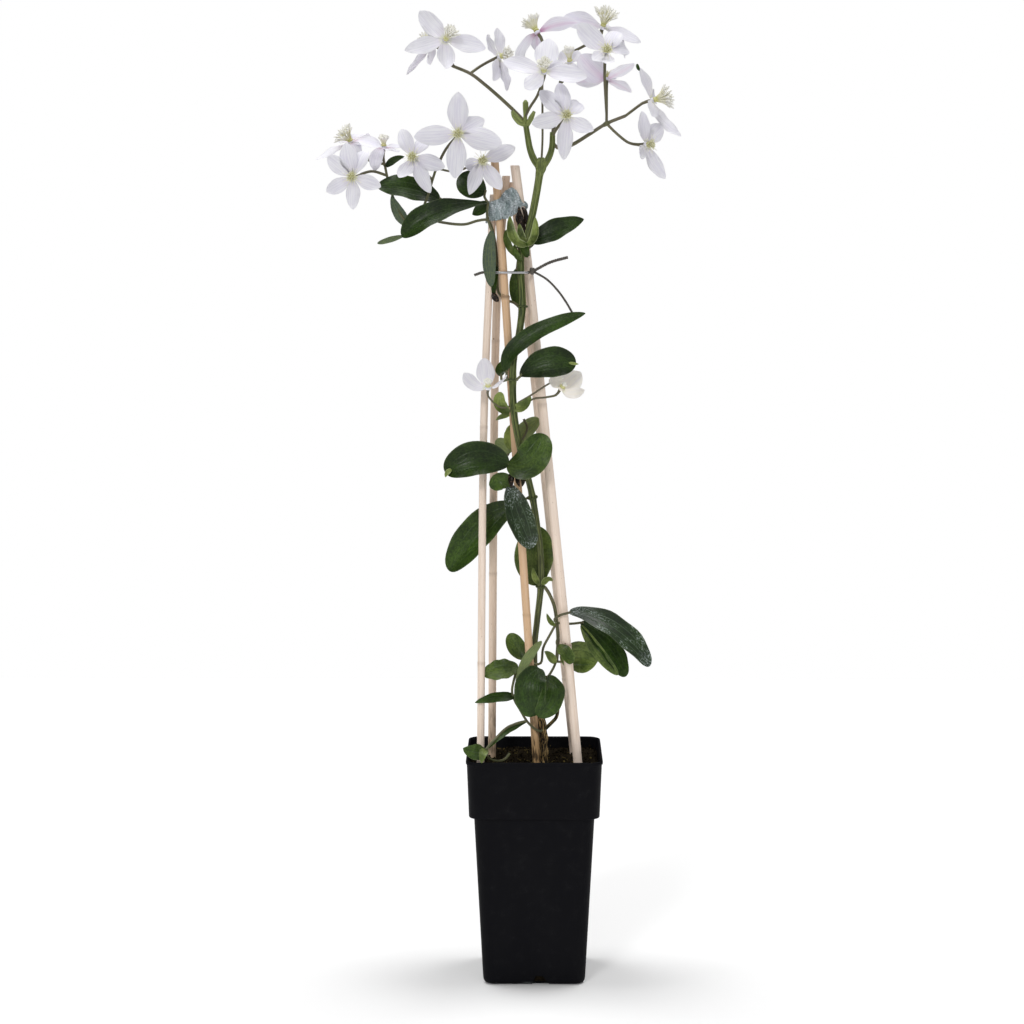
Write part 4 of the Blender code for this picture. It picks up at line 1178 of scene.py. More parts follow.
def make_tape():
    """A band of levels pulled round the canes, crumpled outwards, with torn edges."""
    dice = np.random.default_rng(8)
    torn = np.convolve(dice.normal(size=TAPE_STEPS + 8), np.ones(9) / 5, "valid")
    dents = dice.uniform(0, 1, (TAPE_ROWS + 4, TAPE_STEPS + 8))
    dents = sum(dents[i:i + TAPE_ROWS, j:j + TAPE_STEPS] for i in range(5) for j in range(0, 9, 2)) / 25
    reach = GAP + 0.3 + TAPE_THICKNESS
    belts = np.array([belt(z, rods_at(z, False), reach, TAPE_STEPS) for z in TAPE_LEVELS])
    middle = belts[len(TAPE_LEVELS) // 2]
    front = np.clip((4 - middle[:, 1]) / 8, 0, 1)
    low, high = (front * np.interp(middle[:, 0], *zip(*edge)) + (1 - front) * behind
                 for edge, behind in zip((TAPE_LOW, TAPE_HIGH), TAPE_BEHIND))
    levels = []
    for row, share in enumerate(np.linspace(0, 1, TAPE_ROWS)):
        z = low + (high - low) * share + torn * (share * 2 - 1) ** 3 * TAPE_TEAR
        line = np.array([between(belts[:, k], TAPE_LEVELS, z[k]) for k in range(TAPE_STEPS)])
        line[:, 2] = z
        out = unit((line - line.mean(0)) * (1, 1, 0))
        line = line + out * np.clip((dents[row] - DENT_LEVEL) * DENT_GAIN, 0, DENT_DEPTH)[:, None]
        levels.append((line, out))
    outer = [line for line, _ in levels]
    inner = [line - out * TAPE_THICKNESS for line, out in reversed(levels)]
    rings = np.array(outer + inner)
    run = np.linspace(0, TAPE_RUN, TAPE_STEPS)
    grain = np.stack(np.broadcast_arrays(run, 0.0, rings[..., 2]), -1)
    tape = Bundle()
    tape.loft(rings, grain, looped=True)
    tape.piece("tape_band", tape_film, "tape", "tie_tape", smooth_angle=35)


make_tape()
print("tape", TAPE_THICKNESS, "mm thick")

# %% [markdown]
# ## The woody foot
# The oldest part of the plant is brown and twisted, and its bark peels in strips. The strips
# are thin blades wound round the foot, each of them lifting off at its upper end.

# %% Bark
BARK_DARK = (0.012, 0.008, 0.005)
BARK_TAN = (0.52, 0.36, 0.16)
BARK_GREEN = (0.09, 0.10, 0.035)


def make_bark():
    bark = Recipe("bark_skin", roughness=0.85, specular_ior_level=0.2)
    fibres = bark.noise(1.4, 1.4, 0.08, detail=5)
    patches = bark.noise(0.3, 0.3, 0.1, detail=3)
    colour = bark.mix(fibres.step(0.44, 0.56) * patches.step(0.40, 0.55), BARK_DARK, BARK_TAN)
    young, = bark.facts("mark")
    colour = bark.mix(young * patches * 0.8, colour, BARK_GREEN)
    return bark.finish(colour, fibres, 0.9)


bark_skin = make_bark()
print("made", bark_skin.name)

# %% Woody foot
WOODY_BASE = [(8, -8, 152), (7, -8, 176), (7, -8, 190), (6.5, -7.5, 203), (5.2, -5.6, 212.6)]
WOODY_RADII = [2.8, 4.5, 4.2, 4.1, 3.3]
WOODY_TOP = 217
WOODY_LOOP = [(8, -9, 204), (14, -10, 210), (18, -10, 215), (19, -12, 224), (16, -12, 233), (12, -12, 239)]
BARK_STRIPS = 16
STRIP_FEET = (176, 198)
STRIP_LENGTHS = (9, 20)
STRIP_WIDTHS = (0.9, 2.2)
STRIP_THICKNESS = 0.3
STRIP = (0.5, 0.5, 0.5, 2.0, 0.5)


def make_woody_foot():
    dice = np.random.default_rng(3)
    foot = Bundle()
    line = smooth([*WOODY_BASE, at_height(stem_line, WOODY_TOP)], 2)
    knots = [*WOODY_RADII, stem_radius(WOODY_TOP) + 0.25]
    radii = np.interp(line[:, 2], [*(point[2] for point in WOODY_BASE), WOODY_TOP], knots)
    radii = radii * (1 + 0.10 * np.sin(line[:, 2] * 0.55))
    tube(foot, line, radii, sides=20, ribs=5, rib_depth=0.07)
    loop = smooth(WOODY_LOOP, 1.5)
    tube(foot, loop, np.linspace(1.6, 1.2, len(loop)), sides=14, ribs=5, rib_depth=0.06, mark=1.0)
    for _ in range(BARK_STRIPS):
        z = np.linspace(0, dice.uniform(*STRIP_LENGTHS), 12) + dice.uniform(*STRIP_FEET)
        z = z[z < WOODY_TOP]
        turn = dice.uniform(0, 6.3) + (z - z[0]) * dice.uniform(-0.06, 0.09)
        lift = 0.15 + 1.6 * dice.random() * ((z - z[0]) / 20) ** 2 + np.clip((z - 209) / 8, 0, 0.7)
        out = np.stack([np.cos(turn), np.sin(turn), 0 * z], -1)
        radius = np.interp(z, line[:, 2], radii) + lift
        path = at_height(line, z) + out * radius[:, None]
        blade(foot, path, dice.uniform(*STRIP_WIDTHS), STRIP, out[0], STRIP_THICKNESS, columns=5,
              cup=-0.3, chance=dice.random())
    foot.piece("woody_foot", bark_skin, "bark", "woody_base")


make_woody_foot()
print("bark strips", BARK_STRIPS)

# %% [markdown]
# ## Stem, branches and stalks
# The stem is a ribbed tube through points read from the picture. Flower stalks leave its
# branches and come up behind their blooms, so each one ends on the bloom's own axis.

# %% Outlines of leaves
# Each outline: width at the foot, where it is widest, shoulder, belly and point
NARROW_BASE = (0.08, 0.66, 1.5, 2.3, 0.58)
OBOVATE = (0.08, 0.60, 0.8, 2.2, 0.55)
LONG = (0.14, 0.34, 0.6, 2.4, 0.62)
BLUNT = (0.12, 0.50, 0.62, 2.2, 0.50)
POINTED = (0.14, 0.40, 0.56, 1.6, 0.72)
ROUND = (0.15, 0.48, 0.58, 2.1, 0.46)
TO_VIEWER = (0, -1, 0.2)

print("a blunt leaf at its quarters:", outline(np.linspace(0, 1, 5), *BLUNT).round(2))

# %% The blooms' places
# Each bloom: centre, azimuth and elevation of its face, and petals as
# (angle in the picture, length in the picture, reach to the back, width and, where it is
# turned, how far its face is turned to the viewer)
BLOOMS = {
    "crown_left": ((-70, -38, 756), 15, 20, [
        (133, 30, 3, 16), (197, 33, -10, 14), (-88, 24, -14, 15), (-9, 32, 5, 16), (62, 9, 11, 9)]),
    "crown_left_back": ((-82, -6, 755), -125, 25, [
        (229, 31, -3, 10), (-100, 14, 20, 11), (20, 16, 20, 12), (120, 10, 12, 11)]),
    "crown_left_side": ((-28, -22, 744), 55, 15, [
        (94, 23.5, 9, 13), (124, 19, -18, 10), (256, 20, -18, 12), (-74, 27, -3, 12), (10, 12, 20, 11)]),
    "crown_up_left": ((2, 14, 766), -123, 56, [
        (13, 33, -2, 14, -0.4), (240, 30, 4, 13, 0.6), (214, 14, 20, 11), (-85, 14, 17, 11)]),
    "crown_front": ((7, -42, 731), 0, 30, [
        (82, 27.5, 15, 19), (164, 33, 5, 15), (223, 20, -16, 14), (-8, 34, -3, 16), (25, 16, 16, 14)]),
    "crown_inner": ((28, -2, 741), -20, 60, [
        (60, 12, 6, 12), (5, 10, 8, 11), (-85, 15, -12, 12), (200, 18, -10, 12), (130, 12, 3, 12)]),
    "crown_top": ((54, 16, 770), 36, 62, [
        (167, 33, 8, 16, -0.6), (-21, 33, 4, 13, 0.4), (-36, 24, 22, 14), (-55, 29, 8, 15),
        (100, 4, 24, 11)]),
    "crown_right_front": ((56, -26, 748), 6, 20, [
        (138, 31, 3, 18), (60, 20, 14, 14), (5, 17, 18, 14), (215, 13, -8, 11), (285, 10, -14, 10)]),
    "crown_right_low": ((57, 2, 728), 180, 60, [
        (139, 28, -15, 22, -0.9), (184, 25, -2, 13, -0.5), (27, 24, -18, 13), (-23, 22, 12, 12),
        (60, 10, 14, 12)]),
    "crown_far_right": ((93, -6, 711), 80, 15, [
        (114, 28, -10, 12, 0.5), (262, 14, -20, 14, 0.5), (-47, 36, 4, 13, 0.5), (60, 8, 24, 12)]),
    "crown_far_right_low": ((88, -18, 676), 50, 0, [
        (99, 26, -6, 11, 0.6), (50, 21, 10, 15, 0.6), (-60, 31, 4, 12, 0.6), (250, 12, -18, 10, 0.3)]),
    "crown_middle": ((24, -36, 697), 10, 15, [
        (136, 28, 6, 14), (100, 27.5, 9, 13), (45, 15, 18, 14), (-27, 23, -14, 13), (-93, 34, -4, 13),
        (194, 27.5, -8, 14)]),
    "side_large": ((-60, -46, 683), 0, 3, [
        (90, 33, 4, 17), (184, 34, -3, 16), (266, 34, -4, 16), (348, 35, 2, 18), (32, 22, 14, 14)]),
    "side_right": ((-42, -28, 663), 10, 0, [
        (22, 29, 7, 13), (-56, 28, -4, 12.5), (251, 27.5, -8, 12), (200, 14, 3, 11)]),
    "side_centre": ((-96, -26, 666), -10, 0, [
        (114, 24, 8, 12.5), (52, 18, 13, 11), (-18, 26, -6, 13), (-65, 31, -4, 12.5), (238, 20, -14, 12)]),
    "side_far_left": ((-143, -40, 650), -5, 0, [
        (141, 26, 6, 13), (102, 27, 4, 14), (63, 25, 8, 11), (-20, 23.5, -9, 12), (-88, 25, -8, 12),
        (211, 24, -9, 12)]),
    "side_far_left_back": ((-146, -12, 678), -40, 55, [
        (-10, 25, -12, 14), (209, 31.6, -5, 14), (-60, 15, -13, 12), (150, 13, 19, 13), (30, 14, 20, 13)]),
    "side_upright": ((-121, 0, 674), 15, 80, [
        (250, 19.5, -12, 12), (-18, 13, -19, 12), (170, 16, 14, 12), (5, 18, 14, 12)]),
    "stem_left": ((-37, -34, 484), 0, 60, [
        (149, 23.5, -6, 13, 0.4), (98, 23.5, 11, 15, 0.4), (37, 18, -6, 6)]),
    "stem_right": ((21, -24, 483), 50, 45, [
        (39, 20, 6, 18, 0.6), (112, 13, -2, 14, 0.5), (-2, 19, -8, 11, 0.6)]),
}
RECEPTACLE_RADIUS = 2.6
RECEPTACLE_HALF = 1.5
STALK_SPACING = 2.5
STALK_STRAIGHT = 6
STALK_RADIUS = 1.0
FLOWER_STALK_RADIUS = 1.15
SLIM_STALKS = {"stem_left": 0.7, "stem_right": 0.85, "crown_up_left": 0.9, "side_right": 0.9}
print("petals", sum(len(row[3]) for row in BLOOMS.values()))

# %% Flower stalks
# Flower stalks of each node: their first points, and the bloom that each ends at
FLOWER_STALKS = {
    "main_stem": [
        ([(-64, -24, 736.6)], "crown_left"),
        ([(-65, -24, 737), (-73, -18, 742)], "crown_left_back"),
        ([(-51, -25, 731), (-43, -20, 737)], "crown_left_side"),
        ([(-9, -13, 695), (-4, -18, 705), (2, -25, 714)], "crown_front"),
        ([(5, -12, 660), (6, -4, 680), (6, 2, 703), (6, 8, 728), (7, 11, 747)], "crown_up_left"),
        ([(14, -10, 683), (17, -17, 688)], "crown_middle"),
        ([(20, 8, 725)], "crown_inner"),
        ([(32, 18, 752), (42, 15, 757)], "crown_top"),
        ([(57, -5, 693), (57, -5, 706)], "crown_right_low"),
        ([(57, -5, 701), (56, -14, 712), (55, -19, 728)], "crown_right_front"),
        ([(72, -6, 699)], "crown_far_right"),
        ([(57, -5, 693), (65, -8, 685), (74, -9, 678)], "crown_far_right_low"),
        ([(-18, -26, 470), (-24, -30, 468), (-30, -33, 470)], "stem_left"),
        ([(-17, -26, 468), (-10, -29, 470), (-1, -29, 475), (8, -26, 476)], "stem_right"),
    ],
    "left_spray": [
        ([(-78, -24, 657), (-70, -30, 672)], "side_large"),
        ([(-78, -24, 657), (-62, -19, 655)], "side_right"),
        ([(-81, -22, 648), (-91, -14, 658)], "side_centre"),
        ([(-118, -8, 652), (-130, -16, 655)], "side_far_left"),
        ([(-120, -3, 661), (-132, -2, 664)], "side_far_left_back"),
        ([(-120, -3, 660)], "side_upright"),
    ],
}
print("flower stalks", sum(len(rows) for rows in FLOWER_STALKS.values()))

# %% Branches and bracts
# The crown's branches, with their radii and how brown they are
CROWN_BRANCHES = [
    ([(5, -12, 657), (-0.5, -12, 664), (-4, -12, 673), (-6, -12, 684), (-8, -13, 696)], (3.0, 2.1), -0.45),
    ([(-8, -13, 694), (-17, -15, 703), (-28, -18, 713), (-40, -22, 723), (-51, -25, 731),
      (-65, -24, 737)], (1.5, 1.3), 0.9),
    ([(5, -12, 657), (10.5, -11, 665), (13.5, -10, 674), (14, -10, 686)], (2.9, 2.1), -0.45),
    ([(14, -10, 678), (18, -8, 674), (29, -6, 676), (44, -5, 685), (57, -5, 693),
      (72, -6, 699)], (1.6, 1.3), 0.9),
    ([(14, -10, 683), (17, 2, 704), (20, 9, 725), (25, 15, 742), (32, 18, 752)], (1.5, 1.1), 0.9),
    ([(-13, -29, 472), (-3, -30, 478), (8, -27, 485), (15, -25, 489)], (0.8, 0.7), 1.0),
]
# Swollen forks and sheaths: their lines, their radii along them and how brown they are
SWELLINGS = [
    ([(3.5, -12, 652), (4.6, -12, 657), (5, -12, 662), (5, -12, 666)], [2.8, 4.6, 5.2, 2.4], -0.5),
    ([(-8, -13.5, 693), (-7.6, -14, 699), (-7.4, -14.5, 704), (-7.5, -15, 709), (-7.5, -15, 711)],
     [1.7, 1.7, 2.4, 2.4, 0.9], -0.8),
    ([(-7, -13, 691), (-12, -14.5, 694), (-16, -15, 698.5), (-18, -15.5, 702.5)],
     [1.7, 2.9, 2.6, 1.3], -0.9),
    ([(-6, -13, 691), (-3, -14.5, 697), (-0.5, -15.5, 702)], [1.7, 2.3, 1.3], -0.9),
    ([(54.5, -5, 691.5), (57, -5, 693), (59.5, -5, 694)], [1.6, 2.2, 1.6], 0.6),
]
# Heights of the stem's joints, and how brown it is at some heights
STEM_JOINTS = (321, 395, 416, 468, 490, 548, 594, 656)
STEM_AGE = ((213, 300, 480, 560, 600, 650), (0.5, 0.3, 0.1, 0.0, -0.3, -0.5))
# Bracts and dried scraps: base, pull point, tip, width, facing, outline and tone
BRACTS = [
    ((-20, -27.5, 464), (-33, -31, 470), (-26, -28, 480), 10, TO_VIEWER, BLUNT, 0.8),
    ((-17, -27, 468), (-9, -31, 466), (-3, -31, 477), 8.5, TO_VIEWER, POINTED, 0.8),
    ((-20, -27, 462), (-26, -29, 462), (-31, -29, 458), 4.5, TO_VIEWER, POINTED, 0.9),
    ((-6, -19, 597), (-22, -28, 594), (-19.5, -19, 620), 9, (0.35, -0.9, 0.6), POINTED, 1.0),
    ((-7, -18.5, 597), (4, -25, 598), (0, -19, 619), 7.5, (-0.4, -0.9, 0.4), POINTED, 1.0),
    ((-14, -17, 587), (-26, -20, 598), (-22, -18, 609), 6, (0.3, -1, 0.2), BLUNT, 0.75),
    ((-7, -17, 600), (-13, -21, 602), (-12, -17, 614), 6, (0.2, -1, 0.2), POINTED, 1.1),
    ((-5, -18, 588), (-8, -22, 590), (-10, -18, 600), 7, (0.2, -1, -0.2), BLUNT, 0.5),
    ((-10, -17, 584), (-17, -20, 588), (-16, -17, 598), 5, (0.2, -1, 0.2), POINTED, 0.55),
    ((-8, -13, 612), (-12, -14, 619), (-13, -13, 628), 4, (-0.3, -1, 0.2), POINTED, -1.0),
    ((-7, -13, 613), (-7, -15, 622), (-10, -14, 627), 4, (0.3, -1, 0.4), BLUNT, -1.0),
    ((-9, -13, 612), (-14, -13, 615), (-14, -12, 623), 4, (-0.5, -1, 0), POINTED, -1.0),
    ((-6, -14, 606), (-13, -16, 610), (-11, -14, 620), 6, (0.2, -1, -0.3), BLUNT, -1.0),
    ((-17, -29, 417), (-20, -33, 412), (-18, -32, 404), 5, TO_VIEWER, POINTED, -1.0),
    ((-11, -28, 418), (-8, -31, 413), (-10, -30, 405), 4.5, TO_VIEWER, POINTED, -0.8),
    ((-14, -29, 414), (-15, -32, 410), (-12, -31, 405), 4, (0.4, -1, 0), POINTED, -1.0),
    ((3.5, -6.6, 324), (-1, -11, 329), (-1, -9, 337), 5, TO_VIEWER, POINTED, 0.9),
    ((6.5, -6.6, 323), (11, -11, 331), (15, -9, 326), 5, TO_VIEWER, POINTED, 0.9),
    ((82.5, -16.5, 734), (81, -18, 735), (80.5, -17, 739), 2.6, TO_VIEWER, BLUNT, 0.4),
]
print("bracts and scraps", len(BRACTS))


# %% Stalks and leaves
def facing(azimuth, elevation):
    """The way a bloom looks: azimuth 0 is to the viewer, and it grows to the right."""
    azimuth, elevation = math.radians(azimuth), math.radians(elevation)
    return np.array([math.sin(azimuth) * math.cos(elevation),
                     -math.cos(azimuth) * math.cos(elevation), math.sin(elevation)])


def flower_stalks(bundle, node):
    """Stalks that come up behind their blooms and end just short of the receptacles."""
    for points, bloom in FLOWER_STALKS.get(node, ()):
        centre, azimuth, elevation, _ = BLOOMS[bloom]
        looks = facing(azimuth, elevation)
        end = np.array(centre) - looks * (RECEPTACLE_HALF + GAP)
        line = smooth([*points, end - looks * STALK_STRAIGHT, end], STALK_SPACING)
        radii = SLIM_STALKS.get(bloom, FLOWER_STALK_RADIUS) + 0.5 * np.linspace(0, 1, len(line)) ** 8
        tube(bundle, line, radii, ribs=4, rib_depth=0.05, mark=0.85)


# The ranges that each leaf's own form is drawn from
LEAF_FORM = {"cup": (0.08, 0.26), "fold": (0.02, 0.16), "waves": (2, 3.5), "twist": (-10, 10),
             "curl": (-0.25, 0.1)}
LEAF_THICKNESS = 0.7
LEAF_WAVE = 0.9


def drawn(dice, form):
    """One value from each range."""
    return {name: dice.uniform(*ends) for name, ends in form.items()}


def leaf(bundle, dice, base, pull, tip, width, looks, shape, tone, **form):
    """A leaf from its row in a table; a wide one has more points."""
    rows, columns = (27, 15) if width > 10 else (15, 9)
    values = {**drawn(dice, LEAF_FORM), "wave": LEAF_WAVE * min(1.0, width / 20), **form}
    blade(bundle, bent(base, pull, tip, stations(rows)), width, shape, looks, LEAF_THICKNESS,
          columns=columns, chance=dice.random(), mark=tone, **values)


print("a bloom at 90, 0 looks to", facing(90, 0).round(1))


# %% Stem
def make_stem():
    stem = Bundle()
    radii = stem_radius(stem_line[:, 2])
    brown = np.interp(stem_line[:, 2], *STEM_AGE)
    swell = sum(np.exp(-((stem_line[:, 2] - z) / 3.5) ** 2) for z in STEM_JOINTS)
    tube(stem, stem_line, radii * (1 + 0.16 * swell), sides=30, ribs=6, rib_depth=0.08,
         mark=brown[:, None])
    for points, ends, tone in CROWN_BRANCHES:
        line = smooth(points, STALK_SPACING)
        tube(stem, line, np.linspace(*ends, len(line)), sides=18, ribs=6, rib_depth=0.06, mark=tone)
    for points, knots, tone in SWELLINGS:
        line = smooth(points, 0.8)
        radii = np.interp(lengths(line), lengths(np.array(points, float)), knots)
        tube(stem, line, radii, sides=16, ribs=4, rib_depth=0.07, mark=tone)
    flower_stalks(stem, "main_stem")
    stem.piece("stem_ribbed", stem_skin, "stem", "main_stem")
    dice = np.random.default_rng(21)
    bracts = Bundle()
    for row in BRACTS:
        leaf(bracts, dice, *row, cup=0.5)
    bracts.piece("stem_bracts", leaf_skin, "leaf", "main_stem")


make_stem()
print("stem", round(lengths(stem_line)[-1]), "mm long")

# %% [markdown]
# ## Leafy shoots
# Each shoot clasps the stem with a swollen joint, and its stalks carry the leaves. The tables
# give a leaf by its base, the point that its midrib leaves towards, its tip and its width.

# %% Shoots
# Shoots: joint height on the stem or None, stalks, and leaves as
# (base, pull point, tip, width, facing, outline, tone); a stalk that starts with a number
# leaves the joint at that azimuth
SHOOTS = {
    "low_shoot": (321, [
        [-30, (12, -6, 315), (16, -6, 305), (18, -8, 292), (19, -8, 278), (18, -8, 260)],
        [(18, -8, 292), (12, -8, 281), (7, -8, 271), (5, -5, 258), (-4, -2.5, 258.5), (-7, 1.5, 262)],
        [(18, -8, 292), (16.3, -17, 296), (21, -26.5, 301), (29, -25, 303)],
        [(18, -8, 292), (29, -7, 291), (40, -6, 292)],
        [(18, -8, 261), (15, -15, 255), (10, -24, 250), (4, -29, 255)],
        [(18, -8, 260), (22, -4, 259)],
        [(19, -8, 279), (18, -18, 277), (19, -27, 275)],
        [100, (4, 3.5, 324)],
    ], [
        ((28, -25, 303), (59, -33, 304), (96, -26, 261), 24, (0.2, -0.6, 0.75), BLUNT, 2.0),
        ((38, -6, 292), (63, -8, 275), (74.5, -10, 248), 20, (0.2, -0.8, 0.5), BLUNT, 0.2),
        ((38, -7.5, 290), (50, -12, 268), (68, -13.5, 250), 10, (-0.4, -0.9, 0.3), BLUNT, 0.62),
        ((22, -4, 259), (38, 0, 266), (51, 2, 257), 26, (0, -0.95, 0.3), ROUND, 0.65),
        ((18.6, -27, 275), (25, -32, 274), (30, -30, 262), 11, (0.2, -0.95, 0.3), ROUND, 0.6),
        ((17, -11, 259), (12, -13, 268), (8, -13, 269), 7, TO_VIEWER, POINTED, 0.9),
        ((17, -9, 290), (12, -12, 292), (10, -11, 300), 4, TO_VIEWER, POINTED, 0.8),
        ((4, -29, 258), (-8, -46, 246), (0, -38, 220), 26, (-0.2, -0.95, 0.2), ROUND, 0.4),
        ((9.5, -24, 250), (21, -44, 240), (2.5, -44, 221), 21, (0.3, -0.9, 0.1), ROUND, 0.45),
        ((-6.5, 1, 261), (-15, 5, 267), (-20, 6, 281), 15, TO_VIEWER, BLUNT, 0.55),
        ((4, 2.5, 322), (-6, 7, 343), (5, 4, 369), 32, (0, -1, 0.1), ROUND, 0.6),
    ]),
    "low_left_shoot": (None, [
        [(6, -12.9, 204), (4.5, -20.5, 205), (0, -25, 208), (-6, -25, 214), (-12, -24, 224),
         (-16, -24, 231), (-18, -25, 240), (-14, -21.5, 257)],
        [(-6, -25, 214), (-21, -34, 211), (-32, -42, 202), (-39, -47, 195)],
        [(-38.3, -46.2, 195.6), (-37, -44, 188), (-30, -38, 184), (-24, -32, 184), (-20, -28, 188)],
    ], [
        ((-13, -21, 258), (-26, -27, 256), (-41, -25, 252.5), 19, (0, -0.8, 0.6), BLUNT, 0.55),
        ((-15, -24, 234), (-30, -32, 236), (-48, -34, 231), 10, (0, -0.7, 0.7), POINTED, 0.4),
        ((-14, -24, 236), (-14, -34, 262), (6, -18, 279), 8.5, (0.4, 0.9, 0.0), OBOVATE, 0.8),
        ((-6, -24, 214), (-20, -37, 211), (-37, -46, 197), 6.5, (0, -0.6, 0.8), POINTED, 0.45),
        ((-38.6, -46.6, 194.5), (-46, -51, 191), (-57, -51, 197), 13.5, (-0.2, -0.9, 0.4), POINTED, 0.5),
        ((-38.6, -46.4, 194.8), (-42, -56, 194), (-42, -56.5, 186), 7, (0, -0.8, 0.6), POINTED, 0.8),
    ]),
    "frond_mid_left": (395, [
        [120, (-7, -9, 393), (-17, -6, 387)],
    ], [
        ((-16, -6, 387), (-39, -2, 381), (-69, -8, 334), 28, (-0.1, -1, 0.2), BLUNT, 0.45),
    ]),
    "frond_middle": (416, [
        [220, (-15, -31, 417), (-21, -31, 423)],
        [(-15, -31, 417), (-18, -30, 411), (-20, -29.5, 406)],
        [(-21, -31, 423), (-23, -18, 427), (-21.5, -8, 429), (-19, -6, 434)],
        [(-19, -6, 434), (-10, -2, 441), (-6, -1, 450), (-9, -1, 457)],
    ], [
        ((-21, -31, 423), (-48, -36, 435), (-71, -36, 416), 28, (0, -1, 0.3), BLUNT, 0.2),
        ((-66, -36.5, 419), (-70, -37, 418), (-71, -37, 413), 4, TO_VIEWER, POINTED, 1.0),
        ((-21, -31, 424), (-3, -42, 416), (7, -36, 448), 27, (0.1, -1, 0.1), ROUND, 0.5),
        ((-20, -9, 430), (-25, -4, 437), (-32, -3, 439), 12, (0, 1, 0), ROUND, 0.8),
        ((-20, -8, 433), (-24, -9, 443), (-18, -8, 453), 7, (-0.5, -1, 0), BLUNT, 0.75),
        ((-18, -6, 434), (-10, 1, 449), (4, 0, 457), 14, (0, 1, -0.2), BLUNT, 0.9),
        ((-19.5, -29, 406), (-16, -39, 386), (-2, -31, 356), 22, (0.3, -1, 0.2), BLUNT, 1.9),
        ((-19, -30, 405), (-26, -33, 415), (-34, -30, 403), 14, TO_VIEWER, ROUND, 0.5),
    ]),
    "frond_upper": (490, [
        [200, (-22.3, -27, 493), (-22.5, -27, 498)],
        [310, (-11, -28.8, 493.5), (-10, -29, 495)],
        [170, (-26, -19, 489), (-27, -6, 493)],
    ], [
        ((-22.5, -27, 497), (-28.5, -31, 521), (40, -28, 544), 14, (0, -1, 0.4), LONG, 0.35),
        ((-11.5, -28.5, 493.5), (6, -34, 508), (33, -32, 503), 25, (0, -1, 0.3), OBOVATE, 0.1),
        ((27, -33.2, 504), (31, -33.6, 503), (35, -32.5, 503), 2.5, (0, -1, 0.3), POINTED, 0.9),
        ((-27, -7, 492), (-28, -2, 496), (-26, 0, 504), 9, (0, -1, 0), POINTED, 0.4),
    ]),
    "frond_crown": (594, [
        [300, (-4, -18, 595), (-1, -17, 598)],
        [110, (-13, -7, 588), (-14.5, -3, 577)],
    ], [
        ((-2, -17, 599), (20, -17, 612), (39, -10, 617), 18, (0, -1, 0.5), POINTED, 0.1),
        ((-14.5, -3, 578), (-17, 1, 566), (-14, 1, 548), 10, (0, -1, 0), BLUNT, 0.5),
    ]),
    "left_spray": (548, [
        [130, (-17, -5, 551), (-23, -4, 553), (-29, -6, 559), (-30, -7, 569),
         (-30, -8, 581), (-31, -10, 594), (-33, -13, 606), (-37, -16, 616), (-45, -19, 616),
         (-56, -23, 613), (-70, -25, 614), (-81, -24, 617), (-89, -22, 625)],
        [(-89, -22, 625), (-85, -22, 635), (-81, -22, 648), (-78, -24, 657)],
        [(-81, -24, 617), (-91, -22, 612), (-99, -19, 612), (-107, -18, 622), (-114, -15, 638),
         (-118, -8, 652), (-120, -3, 661)],
        [(-37, -16, 616), (-38, -20, 622), (-37, -22, 630)],
        [(-37, -22, 630), (-40, -19, 635), (-39, -17, 640)],
        [(-81, -24, 617), (-77, -18, 627), (-75, -14, 634)],
        [(-99, -19, 612), (-102, -22, 607), (-105, -24, 604)],
        [(-37, -16, 616), (-35.5, -17, 611), (-34, -18, 608)],
    ], [
        ((-36.5, -22, 630), (-85, -36, 628), (-105, -33, 603), 20, (0, -0.85, 0.5), NARROW_BASE, 0.1),
        ((-76, -14, 633), (-101, -17, 645), (-125, -16, 643), 21, (0, -0.9, 0.45), BLUNT, 0.2),
        ((-39, -17, 639), (-49, -16, 642), (-60, -14, 652), 21, (-0.2, -1, 0.1), BLUNT, 0.3),
        ((-38, -21, 631), (-43, -19, 624), (-50, -17, 621), 10, TO_VIEWER, POINTED, 0.3),
        ((-100, -18.5, 612), (-110, -18, 621), (-114, -18, 636), 10, (0.3, 1, 0), POINTED, 0.3),
        ((-104, -23.5, 604), (-113, -24, 602), (-125, -22, 598), 4.8, (0, 1, -0.3), BLUNT, 0.6),
        ((-119, -4, 659), (-112, -7, 666), (-104, -7, 667), 6, TO_VIEWER, POINTED, 0.4),
        ((-34, -18, 608.5), (-39, -24, 589), (-34.5, -20, 564), 11, (0.2, 1, 0), BLUNT, 0.4),
        ((-30.5, -8, 581), (-36, -12, 570), (-32, -11, 556), 8, (-0.2, -1, 0), POINTED, 0.4),
        ((-32, -11, 559), (-34, -13, 557), (-29, -13, 552), 5, (-0.2, -1, 0), BLUNT, -1.0),
    ]),
}
print("shoots", len(SHOOTS), "leaves", sum(len(rows[2]) for rows in SHOOTS.values()))

# %% Joints
COLLAR_THICKNESS = 0.9
COLLAR_TURN = 18
# The solid's joint is a ring of nine sides, and this round one reaches as far as its corners
COLLAR_STEPS = 9
COLLAR_CLASP = 0.12


def joint_point(z, azimuth):
    """A point in the joint round the stem at a height; azimuth 0 is right and 90 is back."""
    centre = at_height(stem_line, z)
    way = unit(at_height(stem_line, z + 2) - at_height(stem_line, z - 2))
    out = np.array([math.cos(math.radians(azimuth)), math.sin(math.radians(azimuth)), 0])
    out = unit(out - way * out.dot(way))
    reach = (stem_radius(z) + GAP + COLLAR_THICKNESS) / math.cos(math.pi / COLLAR_STEPS)
    return centre + out * reach


print("a joint reaches", joint_point(395, 0).round(1), "on its right")

# %% Stalks with leaves
# Shoots whose first stalk is stouter than the rest
STOUT_STALKS = {"low_shoot": 1.4, "left_spray": 1.1}


